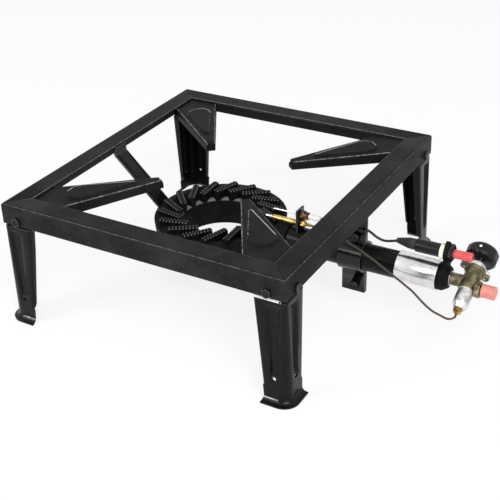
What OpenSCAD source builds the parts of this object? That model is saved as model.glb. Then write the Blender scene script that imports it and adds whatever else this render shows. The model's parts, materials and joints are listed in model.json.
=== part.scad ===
/* [Frame] */
// Width of the frame, left to right
frame_w = 400; // [380:5:430]
// Depth of the frame, front to back
frame_d = 380; // [370:5:410]
// Height of the cooking plane above the floor
frame_h = 160; // [155:5:190]
// Width of a rail's top face
rail_top = 27; // [25:1:30]
// Height of a rail's outer face
rail_drop = 26.5; // [25:0.5:30]
// Thickness of the rail steel
rail_wall = 3; // [2.5:0.25:3.5]
// Outer radius of the bend along a rail
rail_bend = 3.5; // [3:0.5:5]

/* [Legs] */
// Thickness of the leg steel
leg_wall = 2.5; // [2:0.25:3]
// Width of a leg's face just under the rail
leg_top_w = 39.5; // [38:0.5:44]
// Width of a leg's face at the floor
leg_foot_w = 31; // [29:0.5:34]
// How far a leg's faces lean outward by the floor
leg_splay = 3.2; // [2:0.2:5]
// Outer radius of a leg's corner bend
leg_bend = 9; // [7:0.5:11]
// Depth of the return flange along a leg's free edges
leg_return = 9; // [7:0.5:11]
// How far the foot's lip stands out
foot_lip = 7; // [5:0.5:9]
// Distance of a leg bolt from the frame's corner
leg_bolt_in = 22; // [18:1:26]
// Distance of a leg bolt below the cooking plane
leg_bolt_down = 20; // [17:0.5:20]
// Thread radius of the leg, clamp and strip bolts
bolt_r = 3; // [2.5:0.25:3]

/* [Pot arms] */
// Thickness of the arm steel
arm_wall = 2.5; // [2:0.25:3]
// Where an arm meets the rails, from the inner corner
arm_root = 40; // [36:1:44]
// Width of an arm's blunt tip
arm_tip_w = 12; // [11:0.5:16]
// Distance of an arm's tip from the middle, left to right
arm_tip_x = 58; // [52:1:66]
// Distance of an arm's tip from the middle, front to back
arm_tip_y = 60; // [54:1:68]
// Depth of an arm at its tip
arm_tip_depth = 11; // [9:0.5:13]
// Depth of an arm at the rail
arm_root_depth = 14; // [12:0.5:16]
// Height of the raised panel on an arm
panel_rise = 2; // [1:0.25:2.5]

/* [Burner] */
// Outer radius of the ring burner
burner_r = 84.6; // [80:0.2:88]
// Radius of the burner's central hole
burner_hole_r = 51.7; // [50:0.1:54]
// Depth of the burner's rim below the cooking plane
burner_down = 64; // [62:1:70]
// Height of the burner casting
burner_depth = 46; // [44:1:50]
// Offset of the burner's centre toward the back
burner_y = 12.6; // [10:0.2:14]
// Number of port ribs on the crown
rib_count = 18; // [14:1:20]
// Radius of a rib's outer end
rib_outer_r = 73; // [71:0.5:75]
// Radius of a rib's inner end
rib_inner_r = 45; // [43:0.5:48]
// Turn from a rib's outer end to its inner end, degrees
rib_turn = 25; // [18:1:30]
// Width of a port rib
rib_w = 7; // [6:0.25:8]
// Radius of a gas port
port_r = 1; // [0.7:0.1:1.3]

/* [Mixing tube] */
// Outer radius of the mixing tube
tube_r = 16.5; // [15.5:0.25:17]
// Wall of the mixing tube
tube_wall = 2.5; // [2:0.25:3]
// Depth of the tube's axis below the cooking plane
tube_down = 78; // [77:0.5:80]
// How far the tube's end stands out from the frame's front
tube_reach = 93; // [90:1:100]
// Length of the air sleeve
sleeve_len = 50; // [46:1:54]
// Wall of the air sleeve
sleeve_wall = 1.5; // [1:0.25:2]
// Travel of the air sleeve toward the burner
sleeve_travel = 18; // [14:1:20]
// Width of the tube clamp
clamp_w = 30; // [26:1:32]
// Thickness of the clamp steel
clamp_wall = 3; // [2.5:0.25:3.5]

/* [Valve] */
// Tilt of the valve's stem above level, degrees
valve_tilt = 23; // [15:1:30]
// Distance from the tube's end to the valve's axis
valve_reach = 35; // [34:0.5:38]
// Outer radius of the valve body
valve_r = 10; // [9.5:0.25:11]
// Radius of the valve's main bore
valve_bore_r = 6.5; // [6:0.1:6.8]
// Radius of the knob
knob_r = 19; // [16:0.5:20]
// Thickness of the knob
knob_h = 16; // [14:0.5:18]
// Travel of the knob when it is pushed in
push_travel = 4; // [3:0.25:4]
// Radius of the spindle
spindle_r = 3; // [2.75:0.05:3.2]
// Radius of the gas inlet's thread
inlet_r = 6.6; // [6:0.1:6.8]
// Length of the gas inlet's thread
inlet_len = 15; // [12:0.5:18]

/* [Igniter] */
// Height of the igniter's axis above the tube's axis
igniter_rise = 33; // [32:0.5:36]
// Radius of the igniter's barrel
igniter_r = 8; // [7.8:0.1:8.5]
// Radius of the red button
button_r = 5.25; // [4.8:0.05:5.4]
// Travel of the red button
button_travel = 6; // [4:0.5:7]

/* [Pilot] */
// Height of the thermocouple's axis above the burner
probe_rise = 10; // [9:0.5:12]
// Height of the spark electrode above the thermocouple
spark_rise = 12; // [11:0.5:14]
// Distance of the pilot bracket in front of the burner
pilot_gap = 28; // [26:1:32]

/* [Hidden] */
$fn = 64;

// Overrun of every cut, and thickness of the slices that a tapered skin runs between
over = 1;
slice = 0.02;
// Gap round a shaft that turns or slides, and round a fastener in its hole
run_gap = 0.08;
bolt_gap = 0.3;
seat_gap = 0.3;
snug_gap = 0.05;

// Colours
paint = "#242424";
iron = "#1d1d1f";
steel = "#b9bcc0";
zinc = "#9a9c9e";
olive = "#7d7862";
gold = "#c79a4c";

// Hexagon sizes follow the bolt: across corners, head, nut and what stands out of the nut
hex_share = 1.92;
head_share = 1.35;
nut_share = 1.6;
thread_share = 0.5;
hex_r = bolt_r * hex_share;
head_h = bolt_r * head_share;
nut_h = bolt_r * nut_share;
thread_out = bolt_r * thread_share;

// Levels of the frame
half_w = frame_w / 2;
half_d = frame_d / 2;
rail_under = frame_h - rail_wall;
rail_foot = frame_h - rail_drop;
bolt_z = frame_h - leg_bolt_down;

// A leg steps out from behind the rail, and leans from its knee to its ankle
leg_step = 3.5;
knee_z = rail_foot - leg_step;
ankle_z = 9;
leg_foot_edge = leg_foot_w - leg_splay;
tongue_bend = 5;
notch_z = 24;
notch_out = leg_splay * (knee_z - notch_z) / (knee_z - ankle_z);
flare_share = 0.55;
flare = foot_lip * flare_share;
groove_r = 7;
groove_bite = 1;
groove_place_share = 0.55;
groove_below_knee = 6;
groove_top = knee_z - groove_below_knee;
groove_end = 34;
groove_lean = atan(leg_splay / (knee_z - ankle_z));
leg_hole_r = 2.4;
leg_hole_z = groove_end - leg_hole_r;
tongue_gap = 0.5;

// An arm runs from its tip to a tail under the rail
arm_tip = [half_w - arm_tip_x, half_d - arm_tip_y];
arm_mid = [rail_top + arm_root / 2, rail_top + arm_root / 2];
arm_len = norm(arm_tip - arm_mid);
arm_turn = atan2(arm_mid.y - arm_tip.y, arm_mid.x - arm_tip.x);
arm_tail = 14;
arm_root_half = arm_root / sqrt(2);
arm_tip_half = arm_tip_w / 2;
arm_flare = (arm_root_half - arm_tip_half) / arm_len;
arm_dip = (arm_root_depth - arm_tip_depth) / arm_len;
panel_tip_r = 6;
panel_root_r = 12;
panel_start = 33;
panel_root_in = 25;
panel_end = arm_len - panel_root_in;
panel_half = 5.5;

// Levels of the burner
burner_top = frame_h - burner_down;
burner_base = burner_top - burner_depth;
burner_wall = 6;
hole_wall = 5;
crown_wall = 5;
funnel_r = 74;
funnel_drop = 10;
skirt_taper = 3;
burner_floor = 5;
channel_in = burner_hole_r + hole_wall;
channel_out = burner_r - burner_wall;
inner_seat = burner_top - funnel_drop - crown_wall;
outer_seat = burner_top - crown_wall;
rib_rise = 2.5;
port_count = 4;
port_first_share = 0.12;
port_last_share = 0.56;
rib_end_a = rib_turn;
rib_from = [rib_outer_r - rib_w / 2, 0];
rib_to = [(rib_inner_r + rib_w / 2) * cos(rib_end_a), (rib_inner_r + rib_w / 2) * sin(rib_end_a)];
rib_len = norm(rib_to - rib_from);
rib_dir = atan2(rib_to.y - rib_from.y, rib_to.x - rib_from.x);

// The strip that carries the back of the burner
strip_w = 24;
strip_t = 3;
strip_drop = 10;
strip_low_share = 0.2;
strip_screw_share = 0.38;
strip_low_z = burner_base + burner_depth * strip_low_share;
strip_bend_down = 11;
strip_bend_z = burner_top - strip_bend_down;
lug_out = 1;
strip_face = burner_y + burner_r + lug_out;
strip_seat = 2.5;
strip_top_y = half_d - rail_top + strip_seat;
strip_top_z = rail_under - strip_drop;
strip_run = strip_top_y - strip_t - strip_face;
strip_fall = strip_top_z - strip_bend_z;
strip_fold = strip_t * tan(45 - atan2(strip_fall, strip_run) / 2);
strip_screw_z = burner_base + burner_depth * strip_screw_share;
lug_w = 26;

// The mixing tube and what sits on it, along the front
tube_z = frame_h - tube_down;
tube_bore_r = tube_r - tube_wall;
tube_end_y = -half_d - tube_reach;
burner_front = burner_y - burner_r;
tube_inset = 1;
tube_start_y = burner_front - tube_inset;
socket_len = 16;
socket_wall = 3;
socket_r = tube_r + socket_wall;
throat_step = 0.5;
throat_r = tube_bore_r - throat_step;
window_w = 14;
window_len = 12;
window_in = 9;
sleeve_in_r = tube_r + run_gap;
sleeve_out_r = sleeve_in_r + sleeve_wall;
sleeve_inset = 1;
sleeve_front_y = tube_end_y + sleeve_inset;
clamp_front_y = -half_d;
clamp_mid_y = clamp_front_y + clamp_w / 2;
clamp_ring_r = tube_r + clamp_wall;
tab_root = tube_r + clamp_wall / 3;
clamp_split = 0.3;
tab_up = 20;
tab_down = 33;
tab_bolt_up = 9;
tab_bolt_down = 24;
clamp_tab_top = tube_z + tube_r + tab_up;
clamp_tab_low = tube_z - tube_r - tab_down;
clamp_bolt_top = tube_z + tube_r + tab_bolt_up;
clamp_bolt_low = tube_z - tube_r - tab_bolt_down;
tab_bolt_shift = 2;
clamp_bolt_y = clamp_mid_y - tab_bolt_shift;

// The casting that closes the tube, and the jet inside it
mixer_len = 12;
mixer_nose_r = 12;
mixer_rim_share = 0.42;
spigot_len = 6;
spigot_gap = 0.05;
jet_r = 5;
jet_head_r = 7;
jet_head_len = 5;
jet_nose_len = 7;
jet_nose_r = 3;
jet_tip_share = 0.7;
jet_hole_r = 0.9;
jet_tail = 8;
washer_t = 1.2;
washer_r = 8.8;
mixer_front_y = tube_end_y - mixer_len;
outlet_y = mixer_front_y - washer_t;
valve_y = tube_end_y - valve_reach;

// Lug of the casting that holds the igniter
lug_setback = 4;
lug_back_y = tube_end_y - lug_setback;
lug_t = 5;
lug_r = 10.5;
lug_arm_w = 15;
lug_tip_up = 12;
lug_tip_r = 2;
igniter_z = tube_z + igniter_rise;
neck_wall = 1.7;
neck_r = button_r + run_gap + neck_wall;
neck_fit = 0.1;
collar_t = 5;
lock_t = 5;
igniter_len = 30;
neck_len = collar_t + lug_t + lock_t;
igniter_front_y = lug_back_y + collar_t;
igniter_back_y = igniter_front_y + igniter_len;
button_out = 22;
button_in = 10;
igniter_end_wall = 2;
piezo_len = 13;
piezo_gap = 1.2;
piezo_r = button_r - piezo_gap;
boot_len = 24;
boot_r = 6.5;
boot_end_r = 3.2;
boot_tail_share = 0.1;
boot_taper_share = 0.7;
igniter_coil_in = 1;
igniter_wire_r = 0.5;
igniter_turns = 6;
collar_out_r = 9.5;
terminal_r = 2.4;
terminal_len = 8;

// Places along the valve's stem, from the tube's axis
stem_low = -12;
seat_low = -6.5;
seat_high = -4;
seat_hole_r = 3.6;
disc_gap = 0.2;
plug_low = -3;
plug_high = 7.8;
flange_low = 15;
flange_high = 20;
bonnet_high = 26;
bonnet_neck = 28;
collar_low = 18;
washer_low = 16.6;
washer_high = 17.8;
knob_clear = 0.5;
knob_face = 3.5;
knob_low = bonnet_neck + push_travel + knob_clear;
stem_high = knob_low + knob_h - knob_face;
ear_r = 5;
ear_web = 9;
ear_beyond = 4;
ear_out = valve_r + ear_beyond;
ear_turn = -55;
ear_screw_r = 1.6;
ear_head_r = 2.8;
ear_head_h = 2;
flange_rim = 2.2;
bonnet_rim = 1.5;
neck_rim = 3;
flange_r = valve_r + flange_rim;
bonnet_r = valve_r + bonnet_rim;
neck_out_r = spindle_r + neck_rim;
outlet_r = 7.5;
gas_way_r = 2.5;
drive_w = 4;
drive_gap = 0.1;
plug_cup_r = 4.2;
plug_web = 4;
plug_r = valve_bore_r - run_gap;
spindle_low = seat_low + disc_gap;
round_low = plug_high + push_travel + seat_gap;
collar_rim = 2.2;
collar_r = spindle_r + collar_rim;
spring_wire_r = 0.45;
spring_turns = 4;
dot_r = 1.6;
dot_deep = 1;
knob_round = 2.5;
magnet_len = 26;
magnet_low = stem_low - magnet_len;
magnet_step = 0.6;
magnet_out_r = valve_r - magnet_step;
magnet_wall = 2.6;
magnet_end = 8;
magnet_tail_r = 3;
magnet_room = 5.3;
magnet_spigot = 3;
magnet_neck = 1;
magnet_top = stem_low - push_travel - magnet_room;
disc_r = 5;
disc_t = 1.5;
disc_stem_r = 1.2;
armature_r = 4;
armature_t = 1;
armature_low = magnet_top + push_travel + disc_gap;
lead_nut_r = 5.2;
lead_nut_h = 5;
lead_boss_r = 2.6;
lead_boss_h = 2;

// The gas inlet, a little toward the magnet end
inlet_along = -6;
inlet_hex_r = 9.6;
inlet_hex_len = 7;
inlet_bite = 1.5;
inlet_hex_y = valve_y - valve_r + inlet_bite;
inlet_way_r = 3.2;
inlet_tail_r = 5;
tail_wall = 0.7;
inlet_tail_y = valve_y - valve_bore_r - tail_wall;
low_way_along = -8;
low_way_r = 1.4;
cap_wall = 1.5;
cap_gap = 0.08;
cap_clear = 1;
cap_back_y = inlet_hex_y - inlet_hex_len - cap_clear;
inlet_end_y = inlet_hex_y - inlet_hex_len - inlet_len;
cap_end_y = inlet_end_y - seat_gap - cap_wall;
inlet_x = inlet_along * cos(valve_tilt);
inlet_z = tube_z + inlet_along * sin(valve_tilt);

// The pilot group
bracket_t = 2.5;
bracket_w = 18;
bracket_y = burner_front - pilot_gap;
bracket_over = 8;
probe_clear = 7.5;
probe_z = max(burner_top + probe_rise, tube_z + tube_r + probe_clear);
spark_z = probe_z + spark_rise;
probe_tip_len = 9;
probe_tip_r = 1.5;
probe_len = 31;
probe_r = 3.2;
probe_neck_r = 2.6;
probe_neck_len = 6;
probe_nut_r = 5.4;
probe_nut_len = 6;
probe_tail_r = 2;
probe_tail_len = 7;
ceramic_r = 3.25;
ceramic_back = 4;
ceramic_front = 30;
wire_r = 1;
wire_len = 34;
wire_tip = 3;
wire_bend = 35;
spark_nut_r = 5.8;
spark_nut_len = 6.5;
spark_collar_r = 4.6;
spark_collar_len = 5;

// A route's points between two places: x, share of the way, and height over the straight way
function between(points, from, to) = [
    for (p = points) [p.x, from.y + (to.y - from.y) * p.y, from.z + (to.z - from.z) * p.y + p.z]
];

// Places that the two leads pass, and how far the copper one goes into the thermocouple's tail
lead_bite = 1.5;
rail_place = [0, -half_d, tube_z];
clamp_place = [0, clamp_front_y + clamp_w, tube_z];
valve_place = [0, valve_y, tube_z];
probe_place = [0, bracket_y - bracket_t - probe_nut_len - probe_tail_len + lead_bite, probe_z];
ceramic_place = [0, bracket_y - ceramic_front, spark_z];
boot_place = [0, igniter_back_y + boot_len, igniter_z];

// Routes of the two leads between those places, and their radii
copper_r = 1.25;
copper_route = concat(
    between([
        [-40.5, 0, -17.2], [-46, 0, -19.5], [-50, 0.047, -20.8], [-49, 0.125, -19.5],
        [-46.5, 0.211, -17.8], [-43, 0.305, -13], [-38, 0.414, -6], [-34, 0.516, -1.5],
        [-29, 0.648, 4], [-25.5, 0.773, 10], [-22.5, 0.906, 16.5]
    ], valve_place, rail_place),
    between([[-19.5, 0.1, 21.5], [-15, 0.633, 25]], rail_place, clamp_place),
    between([[-8, 0.174, 22.8], [-2, 0.565, 11.4], [0, 0.826, 4.2], [0, 1, 0]], clamp_place, probe_place)
);
spark_lead_r = 1.5;
spark_route = concat(
    between([[0, -0.033, -1.2], [0, 0.167, 6], [4, 0.6, 21.1]], ceramic_place, clamp_place),
    between([[8, 0.067, 35], [9, 0.567, 34], [8, 1, 30.5]], clamp_place, rail_place),
    between([[6, 0.263, 17.8], [4, 0.526, 8.1], [1.5, 0.763, 3.3], [0, 0.947, 0.3], [0, 1.053, -1.7]],
        rail_place, boot_place)
);
lead_sides = 8;
lead_steps = 2;

// A bore, bar or ring along the front-to-back axis, from y toward the front
module toward_front(y, z, x = 0) {
    translate([x, y, z]) rotate([90, 0, 0]) children();
}

// A hexagon bar standing on its base
module hex_bar(r, h) {
    cylinder(r = r, h = h, $fn = 6);
}

// A ring standing on its base
module ring(outer, inner, h) {
    difference() {
        cylinder(r = outer, h = h);
        translate([0, 0, -over]) cylinder(r = inner, h = h + 2 * over);
    }
}

// Puts a piece drawn at the front left corner at another corner
module at_corner(right, back) {
    mirror([right ? 1 : 0, 0, 0]) mirror([0, back ? 1 : 0, 0])
        translate([-half_w, -half_d, 0]) children();
}

// The two bolts of a corner: one through each face, pointing inward
module corner_bolts() {
    translate([leg_bolt_in, 0, bolt_z]) rotate([-90, 0, 0]) children();
    translate([0, leg_bolt_in, bolt_z]) rotate([0, 90, 0]) children();
}

module every_corner() {
    for (right = [false, true], back = [false, true]) {
        at_corner(right, back) children();
    }
}

// Section of a rail: outer face at zero, top at zero
module rail_section() {
    difference() {
        union() {
            translate([rail_bend, -rail_drop]) square([rail_top - rail_bend, rail_drop]);
            translate([0, -rail_drop]) square([rail_top, rail_drop - rail_bend]);
            translate([rail_bend, -rail_bend]) circle(r = rail_bend);
        }
        translate([rail_wall, -rail_drop - over]) square([rail_top, rail_drop - rail_wall + over]);
    }
}

// A rail along the front, mitred at both ends, with a bolt hole near each end
module rail(length, offset) {
    difference() {
        intersection() {
            translate([-length / 2, -offset, frame_h]) rotate([90, 0, 90])
                linear_extrude(length) rail_section();
            translate([0, -offset, rail_foot - over]) linear_extrude(rail_drop + 2 * over)
                polygon([
                    [-length / 2, 0], [length / 2, 0],
                    [length / 2 - rail_top, rail_top], [rail_top - length / 2, rail_top]
                ]);
        }
        for (side = [-1, 1]) {
            translate([side * (length / 2 - leg_bolt_in), over - offset, bolt_z]) rotate([90, 0, 0])
                translate([0, 0, -rail_wall - over])
                cylinder(r = bolt_r + bolt_gap, h = rail_wall + 3 * over);
        }
    }
}

module rail_front() { color(paint) rail(frame_w, half_d); }
module rail_back() { color(paint) rotate([0, 0, 180]) rail(frame_w, half_d); }
module rail_left() { color(paint) rotate([0, 0, -90]) rail(frame_d, half_w); }
module rail_right() { color(paint) rotate([0, 0, 90]) rail(frame_d, half_w); }

// Plan of a leg: a square with one rounded corner, standing out past the frame's corner
module leg_plan(out, edge, bend) {
    translate([bend - out, bend - out]) circle(r = bend, $fn = 32);
    translate([bend - out, -out]) square([edge + out - bend, edge + out]);
    translate([-out, bend - out]) square([edge + out, edge + out - bend]);
}

module leg_slice(z, out, edge, bend) {
    translate([0, 0, z]) linear_extrude(slice) leg_plan(out, edge, bend);
}

// Leaning skin between two levels, as its outer solid or, thinner by a wall, its inside
module leg_skin(low, high, inset) {
    hull() {
        leg_slice(low[0], low[1] - inset, low[2] - inset, low[3] - inset);
        leg_slice(high[0] - slice, high[1] - inset, high[2] - inset, high[3] - inset);
    }
}

knee_high = [rail_foot, -rail_wall, leg_top_w, tongue_bend];
knee_low = [knee_z, 0, leg_top_w, leg_bend];
ankle = [ankle_z, leg_splay, leg_foot_edge, leg_bend];
ankle_inside = [0, leg_splay, leg_foot_edge, leg_bend];
toe = [leg_wall, leg_splay + flare, leg_foot_edge, leg_bend + flare];

// Groove pressed down one face of a leg, and the hole at its end
module leg_groove() {
    place = leg_foot_edge * groove_place_share;
    translate([place, groove_bite - groove_r, knee_z]) rotate([-groove_lean, 0, 0])
        translate([0, 0, groove_end - knee_z]) cylinder(r = groove_r, h = groove_top - groove_end);
    translate([place, -leg_splay - over, leg_hole_z]) rotate([-90, 0, 0])
        cylinder(r = leg_hole_r, h = leg_wall + leg_splay + over);
}

module leg() {
    color(paint) difference() {
        union() {
            translate([0, 0, rail_foot - slice])
                linear_extrude(rail_drop - rail_wall - tongue_gap + slice)
                leg_plan(-rail_wall, leg_top_w, tongue_bend);
            leg_skin(knee_low, knee_high, 0);
            leg_skin(ankle, knee_low, 0);
            leg_skin(toe, ankle, 0);
            linear_extrude(leg_wall + slice)
                leg_plan(leg_splay + foot_lip, leg_foot_edge, leg_bend + foot_lip);
            translate([0, 0, leg_wall]) linear_extrude(slice)
                leg_plan(leg_splay, leg_foot_edge, leg_bend);
        }
        translate([0, 0, rail_foot - slice]) linear_extrude(rail_drop)
            leg_plan(-rail_wall - leg_wall, leg_top_w + over, tongue_bend - leg_wall);
        leg_skin(knee_low, knee_high, leg_wall);
        leg_skin(ankle_inside, knee_low, leg_wall);
        translate([0, 0, -over]) linear_extrude(over + slice)
            leg_plan(leg_splay - leg_wall, leg_foot_edge - leg_wall, leg_bend - leg_wall);
        translate([leg_return, leg_return, -over]) cube([leg_top_w, leg_top_w, frame_h]);
        translate([leg_wall - notch_out, leg_wall - notch_out, -over])
            cube([leg_top_w, leg_top_w, notch_z + over]);
        leg_groove();
        mirror([1, -1, 0]) leg_groove();
        corner_bolts() cylinder(r = bolt_r + bolt_gap, h = rail_wall + leg_wall + over);
    }
}

module leg_front_left() { at_corner(false, false) leg(); }
module leg_front_right() { at_corner(true, false) leg(); }
module leg_back_left() { at_corner(false, true) leg(); }
module leg_back_right() { at_corner(true, true) leg(); }

// A hexagon bolt, its head below zero and its shank above
module hex_bolt(grip) {
    translate([0, 0, -head_h]) hex_bar(hex_r, head_h);
    cylinder(r = bolt_r, h = grip + nut_h + thread_out);
}

module hex_nut() {
    difference() {
        hex_bar(hex_r, nut_h);
        translate([0, 0, -over]) cylinder(r = bolt_r + snug_gap, h = nut_h + 2 * over);
    }
}

module leg_bolts() {
    color("#3a3a3a") every_corner() corner_bolts() hex_bolt(rail_wall + leg_wall);
}

module leg_nuts() {
    color(zinc) every_corner() corner_bolts() translate([0, 0, rail_wall + leg_wall]) hex_nut();
}

// Plan of an arm from its tip along its length, narrower by an inset
module arm_plan(inset, reach) {
    tip = arm_tip_half - inset + arm_flare * inset;
    root = arm_tip_half - inset + arm_flare * reach;
    polygon([[inset, -tip], [reach, -root], [reach, root], [inset, tip]]);
}

// A folded arm that fills the corner of the frame, its open side down
module arm() {
    reach = arm_len + arm_tail;
    color(paint) translate([arm_tip.x, arm_tip.y, rail_under]) rotate([0, 0, arm_turn]) {
        difference() {
            translate([0, 0, -arm_root_depth]) linear_extrude(arm_root_depth) arm_plan(0, reach);
            translate([0, 0, -arm_root_depth - over])
                linear_extrude(arm_root_depth - arm_wall + over) arm_plan(arm_wall, reach + over);
            rotate([90, 0, 0]) translate([0, 0, -arm_root]) linear_extrude(2 * arm_root)
                polygon([
                    [-over, -arm_tip_depth], [0, -arm_tip_depth], [arm_len, -arm_root_depth],
                    [arm_len, -arm_root_depth - over], [-over, -arm_root_depth - over]
                ]);
        }
        linear_extrude(panel_rise) hull() {
            translate([panel_start, 0]) circle(r = panel_tip_r, $fn = 32);
            for (side = [-1, 1]) {
                translate([panel_end, side * panel_half]) circle(r = panel_root_r, $fn = 32);
            }
        }
    }
}

module arm_front_left() { at_corner(false, false) arm(); }
module arm_front_right() { at_corner(true, false) arm(); }
module arm_back_left() { at_corner(false, true) arm(); }
module arm_back_right() { at_corner(true, true) arm(); }

// Open ring channel with a socket for the tube and a flat lug for the strip
module burner_body() {
    color(iron) difference() {
        union() {
            translate([0, burner_y, 0]) rotate_extrude() polygon([
                [burner_hole_r, burner_base], [burner_r - skirt_taper, burner_base],
                [burner_r, outer_seat], [burner_hole_r, outer_seat]
            ]);
            toward_front(burner_y - channel_out, tube_z)
                cylinder(r = socket_r, h = burner_wall + socket_len);
            translate([-lug_w / 2, burner_y + channel_out, strip_low_z])
                cube([lug_w, strip_face - burner_y - channel_out, strip_bend_z - strip_low_z]);
        }
        translate([0, burner_y, 0]) rotate_extrude() polygon([
            [channel_in, burner_base + burner_floor], [channel_out, burner_base + burner_floor],
            [channel_out, burner_top + over], [channel_in, burner_top + over]
        ]);
        translate([0, burner_y, inner_seat]) cylinder(r = channel_in + over, h = burner_depth);
        translate([0, burner_y, outer_seat]) cylinder(r = burner_r, h = burner_depth);
        toward_front(tube_start_y, tube_z) cylinder(r = tube_r + snug_gap, h = socket_len + burner_wall);
        toward_front(burner_y - channel_out + over, tube_z)
            cylinder(r = throat_r, h = burner_wall + 2 * over);
        toward_front(strip_face + over, strip_screw_z)
            cylinder(r = bolt_r + snug_gap, h = burner_wall + 4 * over);
    }
}

// One rib of the crown, from its outer end to its inner end
module rib_bar(low, high) {
    translate([rib_from.x, rib_from.y, low]) rotate([0, 0, rib_dir]) {
        translate([0, -rib_w / 2, 0]) cube([rib_len, rib_w, high - low]);
        cylinder(r = rib_w / 2, h = high - low);
        translate([rib_len, 0, 0]) cylinder(r = rib_w / 2, h = high - low);
    }
}

module rib_ports() {
    translate([rib_from.x, rib_from.y, inner_seat - over]) rotate([0, 0, rib_dir])
        for (k = [0 : port_count - 1]) {
            share = port_first_share + (port_last_share - port_first_share) * k / (port_count - 1);
            translate([rib_len * share, 0, 0]) cylinder(r = port_r, h = burner_depth);
        }
}

// Funnel-shaped crown with slanting ribs, drilled with the gas ports
module burner_crown() {
    color(iron) translate([0, burner_y, 0]) difference() {
        union() {
            rotate_extrude() polygon([
                [burner_hole_r, inner_seat], [channel_in, inner_seat],
                [channel_in, inner_seat + crown_wall / 2],
                [channel_out - run_gap, outer_seat - crown_wall / 2],
                [channel_out - run_gap, outer_seat], [burner_r, outer_seat],
                [burner_r, burner_top], [funnel_r, burner_top],
                [burner_hole_r, burner_top - funnel_drop]
            ]);
            for (k = [0 : rib_count - 1]) {
                rotate([0, 0, 180 + 360 * k / rib_count])
                    rib_bar(burner_top - funnel_drop + over, burner_top + rib_rise);
            }
        }
        for (k = [0 : rib_count - 1]) {
            rotate([0, 0, 180 + 360 * k / rib_count]) rib_ports();
        }
    }
}

// Bent strip from under the back rail down to the burner's lug
module burner_strip() {
    front_y = strip_top_y - strip_t;
    back_y = half_d - rail_wall - tongue_gap;
    color(paint) difference() {
        translate([-strip_w / 2, 0, 0]) rotate([90, 0, 90]) linear_extrude(strip_w) polygon([
            [strip_face, strip_low_z], [strip_face, strip_bend_z], [front_y, strip_top_z],
            [front_y, rail_under], [back_y, rail_under], [back_y, rail_under - strip_t],
            [strip_top_y, rail_under - strip_t], [strip_top_y, strip_top_z - strip_fold],
            [strip_face + strip_t, strip_bend_z - strip_fold], [strip_face + strip_t, strip_low_z]
        ]);
        toward_front(strip_face + strip_t + over, strip_screw_z)
            cylinder(r = bolt_r + bolt_gap, h = strip_t + 2 * over);
    }
}

module strip_screw() {
    color("#3a3a3a") toward_front(strip_face + strip_t, strip_screw_z) {
        translate([0, 0, -head_h]) hex_bar(hex_r, head_h);
        cylinder(r = bolt_r, h = strip_t + burner_wall);
    }
}

// Mixing tube with four air windows under the sleeve
module mixing_tube() {
    length = tube_start_y - tube_end_y;
    color(iron) difference() {
        toward_front(tube_start_y, tube_z) ring(tube_r, tube_bore_r, length);
        for (turn = [45, 135]) {
            translate([0, tube_end_y + window_in + window_len / 2, tube_z]) rotate([0, turn, 0])
                cube([3 * tube_r, window_len, window_w], center = true);
        }
    }
}

// Half of the clamp seen from its end: a half ring between two tabs, on the right of the split
module clamp_half(top, low, ease) {
    toward_front(clamp_front_y + clamp_w, 0) linear_extrude(clamp_w) {
        intersection() {
            translate([0, tube_z]) difference() {
                circle(r = clamp_ring_r);
                circle(r = tube_r + snug_gap);
            }
            translate([ease, low]) square([clamp_ring_r, top - low]);
        }
        translate([ease, tube_z + tab_root]) square([clamp_wall, top - tube_z - tab_root]);
        translate([ease, low]) square([clamp_wall, tube_z - tab_root - low]);
    }
}

module clamp_bores() {
    for (z = [clamp_bolt_top, clamp_bolt_low]) {
        translate([-clamp_ring_r, clamp_bolt_y, z]) rotate([0, 90, 0])
            cylinder(r = bolt_r + bolt_gap, h = 2 * clamp_ring_r);
    }
}

// Back half of the clamp, which runs up inside the front rail
module clamp_hanger() {
    color(paint) difference() {
        clamp_half(rail_under, clamp_tab_low, 0);
        translate([-over, -half_d - over, rail_foot - seat_gap])
            cube([clamp_ring_r, rail_wall + over + snug_gap, rail_drop + over]);
        translate([-over, rail_top - half_d, rail_foot - seat_gap])
            cube([clamp_ring_r, clamp_w, rail_drop + over]);
        clamp_bores();
    }
}

module clamp_saddle() {
    color(paint) difference() {
        mirror([1, 0, 0]) clamp_half(clamp_tab_top, clamp_tab_low, clamp_split);
        clamp_bores();
    }
}

module clamp_bolts() {
    color("#3a3a3a") for (z = [clamp_bolt_top, clamp_bolt_low]) {
        translate([-clamp_wall - clamp_split, clamp_bolt_y, z]) rotate([0, 90, 0])
            hex_bolt(2 * clamp_wall + clamp_split);
    }
}

module clamp_nuts() {
    color(zinc) for (z = [clamp_bolt_top, clamp_bolt_low]) {
        translate([clamp_wall, clamp_bolt_y, z]) rotate([0, 90, 0]) hex_nut();
    }
}

module air_sleeve() {
    color(steel) toward_front(sleeve_front_y + sleeve_len, tube_z)
        ring(sleeve_out_r, sleeve_in_r, sleeve_len);
}

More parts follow.
